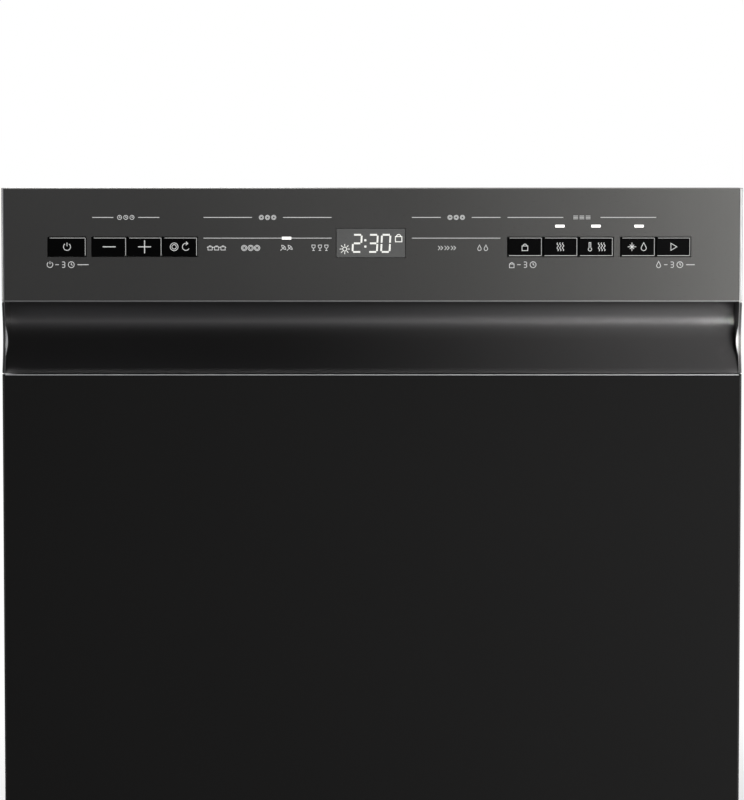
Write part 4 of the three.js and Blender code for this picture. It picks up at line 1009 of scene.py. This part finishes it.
def spray_arm(node):
    """A blown arm: two tapered, rounded blades on a hub, with a row of jets on each."""
    low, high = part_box(node)
    reach = high.x
    middle_y = middle(node).y
    middle_z = low.z + 0.005
    shell = Shell()
    for side in (-1, 1):
        shell.loft([blade_ring(share, side, reach, middle_y, middle_z) for share in spread(25, 0, 1)])
    hub = [(0.0066, low.z), (0.019, low.z), (0.0198, low.z + 0.001)]
    hub += [(0.0198, high.z - 0.001), (0.019, high.z), (0.0066, high.z)]
    shell.ring((0, middle_y, 0), hub, "z", 48)
    shell.stand_in(f"{node}_blades", "grey", node, node, "grey_plastic")
    jets = Shell()
    for side in (-1, 1):
        for i, x in enumerate(spread(7, 0.035, reach - 0.03)):
            y = middle_y + (0.005 if i % 2 else -0.005)
            ring = [(0.0012, 0.0), (0.0032, 0.0), (0.0030, 0.0008), (0.0012, 0.0008)]
            jets.ring((side * x, y, middle_z + 0.0046), ring, "z", 20)
    jets.build(f"{node}_jets", "dark", node)


def heater():
    """The heating rod: one smooth ring, open at the back, its ends turned down."""
    low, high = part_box("heating_element")
    radius_rod = 0.004
    centre_y = low.y + radius_rod + HEATER_RADIUS
    z = high.z - radius_rod
    gap = math.radians(12)
    turns = [gap + 2 * (math.pi - gap) * i / 120 for i in range(121)]
    ring = [(HEATER_RADIUS * math.sin(t), centre_y + HEATER_RADIUS * math.cos(t), z) for t in turns]
    legs = lambda p: [(p[0], p[1], low.z + (z - low.z - 0.003) * t) for t in (0, 0.5, 1.0)]
    shell = Shell()
    shell.tube(legs(ring[0]) + ring[1:-1] + legs(ring[-1])[::-1], radius_rod, 14)
    shell.stand_in("heating_rod", "heater", "cabinet", "heating_element", "heater_steel")


def ribs(name, y, z, places, radii, thick, sides):
    """Thin rings around a motor that lies along X."""
    shell = Shell()
    inner, outer = radii
    for x in places:
        shell.ring((0, y, z), [(inner, x), (outer, x), (outer, x + thick), (inner, x + thick)], "x", sides)
    shell.build(name, "zinc", "cabinet")


def pump_ribs():
    """Cooling ribs around both pumps' motors."""
    low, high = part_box("wash_pump")
    _, y, z = middle("wash_pump")
    ribs("wash_pump_ribs", y, z, spread(9, low.x + 0.044, high.x - 0.006), (0.0355, 0.0385), 0.0025, 48)
    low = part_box("drain_pump")[0]
    places = spread(5, low.x + 0.003, low.x + 0.032)
    ribs("drain_pump_ribs", low.y + 0.030, low.z + 0.030, places, (0.0215, 0.0240), 0.003, 40)


# ---------- Hardware ----------
SPRING_TURNS = 42
SPRING_WIRE = 0.00085
LOUVRE_HALF = 0.0018
SEAM_INSET = 0.0005  # the blanket's back seams stay inside the frame's box


def door_springs():
    """Close-wound tension springs with a hook at each end."""
    for side in ("left", "right"):
        low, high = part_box(f"door_spring_{side}")
        x, _, z = middle(f"door_spring_{side}")
        coil_start, coil_end = low.y + 0.010, high.y - 0.010
        steps = 12 * SPRING_TURNS
        path = []
        for i in range(steps + 1):
            turn = math.pi * i / 6
            y = coil_start + (coil_end - coil_start) * i / steps
            path.append((x + 0.0040 * math.cos(turn), y, z + 0.0040 * math.sin(turn)))
        shell = Shell()
        shell.tube(path, SPRING_WIRE, 6)
        for y, way in ((coil_start, -1), (coil_end, 1)):
            bend = [i * 0.6 for i in range(6)]
            hook = [(x + 0.0035 * math.cos(t), y + way * (0.0045 + 0.0040 * math.sin(t)), z) for t in bend]
            shell.tube(hook, SPRING_WIRE, 6)
        shell.stand_in(f"spring_coil_{side}", "zinc", "cabinet", f"door_spring_{side}", "galvanised_steel")


def feet():
    """Levelling feet with a stepped pad, a hexagon and a screw thread."""
    for end in ("front_left", "front_right", "rear_left", "rear_right"):
        node = f"foot_{end}"
        low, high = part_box(node)
        centre = (*middle(node).xy, 0)
        pad = (high.x - low.x) / 2
        profile = [(0.0, 0.0), (pad - 0.0015, 0.0), (pad, 0.0015), (pad, 0.0055)]
        profile += [(pad - 0.002, 0.0075), (0.010, 0.0080), (0.0050, 0.0100)]
        z = 0.014
        while z < high.z - 0.002:
            profile += [(0.0050, z), (0.0042, z + 0.001)]
            z += 0.002
        profile += [(0.0040, high.z), (0.0, high.z)]
        shell = Shell()
        shell.lathe(centre, profile, "z", 40)
        shell.lathe(centre, [(0.0, 0.0078), (0.0095, 0.0078), (0.0095, 0.0145), (0.0, 0.0145)], "z", 6)
        shell.stand_in(f"{node}_screwed", "dark", node, node, "dark_plastic")


def screw(shell, place, out, radius=0.0038):
    """A pan-head screw with a crossed recess, standing out along one axis."""
    axis = max(range(3), key=lambda i: abs(out[i]))
    way = 1 if out[axis] > 0 else -1
    name = "xyz"[axis]
    centre = list(place)
    base, centre[axis] = centre[axis], 0
    steps = [(0.0, 0.0), (1.0, 0.0), (1.0, 0.0008), (0.75, 0.0017), (0.0, 0.0021)]
    profile = [(radius * share, base + way * rise) for share, rise in steps]
    shell.lathe(centre, profile, name, 20)
    size = [radius * 0.5] * 3
    for thin in [i for i in range(3) if i != axis]:
        half = list(size)
        half[thin] = radius * 0.1
        half[axis] = 0.0001
        spot = list(place)
        spot[axis] = base + way * 0.0021
        shell.block([m - h for m, h in zip(spot, half)], [m + h for m, h in zip(spot, half)])


def screws():
    cabinet, door = Shell(), Shell()
    low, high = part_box("steel_frame")
    for side in (-1, 1):
        for z in (0.30, 0.52, 0.74):
            screw(cabinet, (side * (high.x - 0.0074), low.y + 0.0172, z), (0, -1, 0), 0.0030)
    toe_low, toe_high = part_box("toe_kick")
    for side in (-1, 1):
        screw(cabinet, (side * (toe_high.x - 0.02), toe_low.y + 0.0001, toe_high.z - 0.014), (0, -1, 0))
    liner_low, liner_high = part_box("door_liner")
    flange = liner_low.y + 0.001
    for side in (-1, 1):
        for z in (0.20, 0.36, 0.52, 0.68, 0.82):
            screw(door, (side * (liner_high.x - 0.006), flange, z), (0, 1, 0), 0.0034)
    for x in (-0.22, -0.10, 0.10, 0.22):
        screw(door, (x, flange, liner_high.z - 0.005), (0, 1, 0), 0.0034)
    cabinet.build("cabinet_screws", "screw", "cabinet")
    door.build("door_screws", "screw", "door")


def vent_louvres():
    low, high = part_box("vent_cover")
    x, _, z = middle("vent_cover")
    radius = (high.x - low.x) / 2
    shell = Shell()
    steps = [(0.004, -0.0002), (0.0005, -0.0002), (0.0008, 0.0012), (0.0036, 0.0012)]
    rim = [(radius - inset, high.y + rise) for inset, rise in steps]
    shell.ring((x, 0, z), rim, "y", 56)
    for row in spread(7, -radius + 0.009, radius - 0.009):
        half = math.sqrt(max(0.0, (radius - 0.006) ** 2 - row ** 2))
        lower = (x - half, high.y - 0.0003, z + row - LOUVRE_HALF)
        shell.block(lower, (x + half, high.y + 0.0010, z + row + LOUVRE_HALF))
    shell.build("vent_louvres", "grey", "door", bevel=0.0003)


def dispenser_details():
    low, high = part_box("dispenser_lid")
    shell = Shell()
    for z in spread(5, low.z + 0.012, low.z + 0.032):
        shell.block((low.x + 0.018, high.y - 0.0028, z), (high.x - 0.018, high.y - 0.0018, z + 0.0022))
    shell.build("dispenser_lid_ridges", "grey", "dispenser_lid", bevel=0.0003)
    low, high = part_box("dispenser_body")
    beads = Shell()
    inset = 0.0035
    x0, x1, z0, z1 = low.x + inset, high.x - inset, low.z + inset, high.z - inset
    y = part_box("door_liner")[1].y + 0.0019
    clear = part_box("dispenser_lid")[1].x + 0.006
    beads.tube([(clear, y, z0), (x1, y, z0), (x1, y, z1), (x0, y, z1), (x0, y, z0)], 0.0011, 8)
    beads.build("dispenser_bead", "grey", "door")


def liner_beads():
    """Pressed beads that stiffen the door liner."""
    low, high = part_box("door_liner")
    shell = Shell()
    for inset in (0.030, 0.052):
        x, bottom, top = high.x - inset, low.z + inset + 0.016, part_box("tub_gasket")[1].z - inset
        path = [(x, high.y - 0.0004, z) for x, z, _ in ring_path(bottom, top, 0, x)]
        shell.tube(path, 0.0012, 8, closed=True)
    shell.build("liner_beads", "stainless", "door")


def tub_beads():
    """Pressed beads that stiffen the tub's walls."""
    start, end = (corner.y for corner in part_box("tub"))
    walls = Shell()
    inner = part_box("tub_gasket")[1].x - 0.0001
    for side in (-1, 1):
        for z in (0.24, 0.36, 0.62, 0.74):
            walls.tube([(side * inner, y, z) for y in spread(9, start + 0.06, end - 0.04)], 0.0014, 8)
    walls.build("tub_beads", "stainless", "cabinet")


def blanket_straps():
    """Two straps that hold the sound blanket."""
    low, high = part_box("sound_blanket")
    shell = Shell()
    for y in (low.y + 0.09, high.y - 0.11):
        for side in (-1, 1):
            x0, x1 = sorted((side * high.x, side * (high.x + 0.0008)))
            shell.block((x0, y, low.z + 0.01), (x1, y + 0.03, high.z - 0.002))
    shell.build("blanket_straps", "dark", "cabinet", bevel=0.0003)


def blanket_seams():
    """Quilting lines over the top and down the back, and the stitches of the front hem."""
    low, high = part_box("sound_blanket")
    seams = Shell()
    foot, back = low.z + 0.004, high.y - SEAM_INSET
    for y in spread(6, low.y + 0.03, high.y - 0.03):
        over = [(side * high.x, y, z) for side, z in ((-1, foot), (-1, high.z), (1, high.z), (1, foot))]
        seams.tube(over, 0.0006, 6)
    for x in spread(7, -high.x + 0.03, high.x - 0.03):
        seams.tube([(x, back, foot), (x, back, high.z - 0.004)], 0.0005, 6)
    seams.build("blanket_seams", "grey", "cabinet")
    hem = Shell()
    for side in (-1, 1):
        x = side * (high.x + 0.0002)
        for i in range(60):
            z = low.z + 0.006 + (high.z - low.z - 0.012) * i / 60
            hem.tube([(x, low.y + 0.008, z), (x, low.y + 0.008, z + 0.006)], 0.0006, 6)
    hem.build("blanket_stitches", "dark", "cabinet")


def soften_nodes():
    """Rounded edges and even shading on every CAD piece that still shows."""
    fine = ["display_window", "toe_kick", "steel_frame", "door_liner", "latch_strike", "filter_plate"]
    fine += ["junction_box"]
    fine += [f"{part}_{side}" for part in ("hinge_arm", "rail", "rail_guide") for side in ("left", "right")]
    full = ["base_frame", "sump", "wash_pump", "drain_pump", "inlet_valve", "feed_tube", "rack_manifold"]
    full += ["filter_cup", "float_dome", "dispenser_body", "dispenser_lid", "rinse_cap", "vent_cover"]
    full += ["door_latch", "control_module"]
    for name in fine:
        soften(name, 0.0002)
    for name in full:
        soften(name, 0.0006)
    soften("tub_gasket", 0.0018, 3)
    soften("tub", 0.0004)
    soften("sound_blanket", 0.003, 3)
    soften("door_pad", 0.003, 3)


# ---------- Camera, light and floor ----------
def camera():
    data = bpy.data.cameras.new("camera")
    view = bpy.data.objects.new("camera", data)
    bpy.context.scene.collection.objects.link(view)
    data.lens = LENS
    data.sensor_fit = "VERTICAL"
    data.sensor_height = 36.0
    data.clip_end = 50
    view.location = (0, FRONT - CAMERA_DISTANCE, DOOR_TOP + CAMERA_RISE)
    view.rotation_euler = (math.radians(90 - CAMERA_PITCH), 0, 0)
    bpy.context.scene.camera = view


def add_lamp(data, place, target):
    """Hangs a lamp in the room and turns it towards its target; the camera doesn't see it."""
    lamp = bpy.data.objects.new(data.name, data)
    bpy.context.scene.collection.objects.link(lamp)
    lamp.visible_camera = False
    lamp.location = place
    lamp.rotation_euler = (Vector(target) - Vector(place)).to_track_quat("-Z", "Y").to_euler()
    return lamp


def area_light(name, place, target, size, power):
    data = bpy.data.lights.new(name, "AREA")
    data.shape = "RECTANGLE"
    data.size, data.size_y = size
    data.energy = power
    return add_lamp(data, place, target)


def light_only(lamp, piece):
    """Flags a lamp so that it reaches one piece only."""
    lit = bpy.data.collections.new(f"lit_by_{lamp.name}")
    lit.objects.link(piece)
    lamp.light_linking.receiver_collection = lit


def world():
    """White to the camera, a dim grey room to everything else."""
    scene_world = bpy.data.worlds.new("studio")
    bpy.context.scene.world = scene_world
    scene_world.use_nodes = True
    nodes, links = scene_world.node_tree.nodes, scene_world.node_tree.links
    nodes.clear()
    path = nodes.new("ShaderNodeLightPath")
    room = nodes.new("ShaderNodeBackground")
    room.inputs["Color"].default_value = (0.9, 0.92, 1.0, 1.0)
    room.inputs["Strength"].default_value = 0.11
    white = nodes.new("ShaderNodeBackground")
    white.inputs["Color"].default_value = (1, 1, 1, 1)
    mix = nodes.new("ShaderNodeMixShader")
    out = nodes.new("ShaderNodeOutputWorld")
    links.new(path.outputs["Is Camera Ray"], mix.inputs["Fac"])
    links.new(room.outputs[0], mix.inputs[1])
    links.new(white.outputs[0], mix.inputs[2])
    links.new(mix.outputs[0], out.inputs[0])
    bpy.context.scene.view_settings.view_transform = "Standard"


def floor():
    """A pale floor that fades into the white around it."""
    shade = Shade("floor_pale", (0.85, 0.85, 0.85), 0.6)
    shade.vary_color(shade.texture("ShaderNodeTexNoise", 4.0), 0.01)
    reach = shade.nodes.new("ShaderNodeVectorMath")
    reach.operation = "LENGTH"
    shade.links.new(shade.coordinates.outputs["Object"], reach.inputs[0])
    shade.remap(reach.outputs["Value"], (0.9, 2.4), (1.0, 0.0), "Alpha")
    turns = [k * math.pi / 32 for k in range(64)]
    rim = [(2.5 * math.cos(t), 2.5 * math.sin(t), -0.0005) for t in turns]
    ground = bpy.data.objects.new("floor", mesh_of("floor", rim, [range(64)]))
    ground.data.materials.append(shade.material)
    bpy.context.scene.collection.objects.link(ground)
    ground.visible_glossy = False


def lights():
    area_light("key_right", (1.5, -3.6, 0.95), (0.0, -0.3, 0.75), (1.2, 1.6), 38)
    area_light("fill_front", (-0.2, -3.4, 1.0), (0, -0.3, 0.74), (3.2, 0.35), 1.6)
    area_light("low_card", (1.0, -1.4, 0.05), (0.25, -0.3, 0.76), (0.8, 0.7), 2.4)
    area_light("side_right", (2.4, -0.1, 0.9), (0, -0.3, 0.7), (1.0, 1.4), 34)
    area_light("side_left", (-2.4, -0.1, 0.9), (0, -0.3, 0.7), (1.0, 1.4), 12)
    area_light("top", (0.0, 0.2, 3.0), (0, 0, 0.5), (2.4, 1.6), 34)
    area_light("back", (-1.0, 3.2, 1.8), (0, 0.3, 0.5), (2.0, 2.0), 40)


def pocket_light(recess):
    """A diffuse lamp in the recess, strongest towards its right end."""
    data = bpy.data.lights.new("pocket_spot", "SPOT")
    data.energy = 470
    data.spot_size = math.radians(35)
    data.spot_blend = 1.0
    data.shadow_soft_size = 0.2
    lamp = add_lamp(data, (0.5, -1.9, 0.9), (0.52, -0.29, 0.735))
    lamp.visible_glossy = False
    light_only(lamp, recess)


def recess_end_light(recess):
    """A narrow card in front of the recess's right end, whose end wall keeps the key light away."""
    lamp = area_light("end_card", (0.27, -1.5, 0.80), (0.31, -0.29, 0.735), (0.03, 0.9), 0.04)
    lamp.data.spread = math.radians(4)
    light_only(lamp, recess)


def paint_nodes():
    for finish, names in NODE_FINISH.items():
        for name in names:
            paint(NODES[name], finish)


camera()
world()
floor()
lights()
paint_nodes()
front_edges()
recess = handle_pocket()
pocket_light(recess)
recess_end_light(recess)
front_trims()
keys()
painted_key_highlights()
key_marks()
fascia_marks()
side_trims()
recess_end_lips()
trim_gap_shadows()
lamps()
display()
soften_nodes()
lower_rack()
upper_rack()
cup_shelves()
rack_wheels()
cutlery_basket()
spray_arm("lower_spray_arm")
spray_arm("upper_spray_arm")
heater()
pump_ribs()
door_springs()
feet()
screws()
vent_louvres()
dispenser_details()
liner_beads()
tub_beads()
blanket_straps()
blanket_seams()
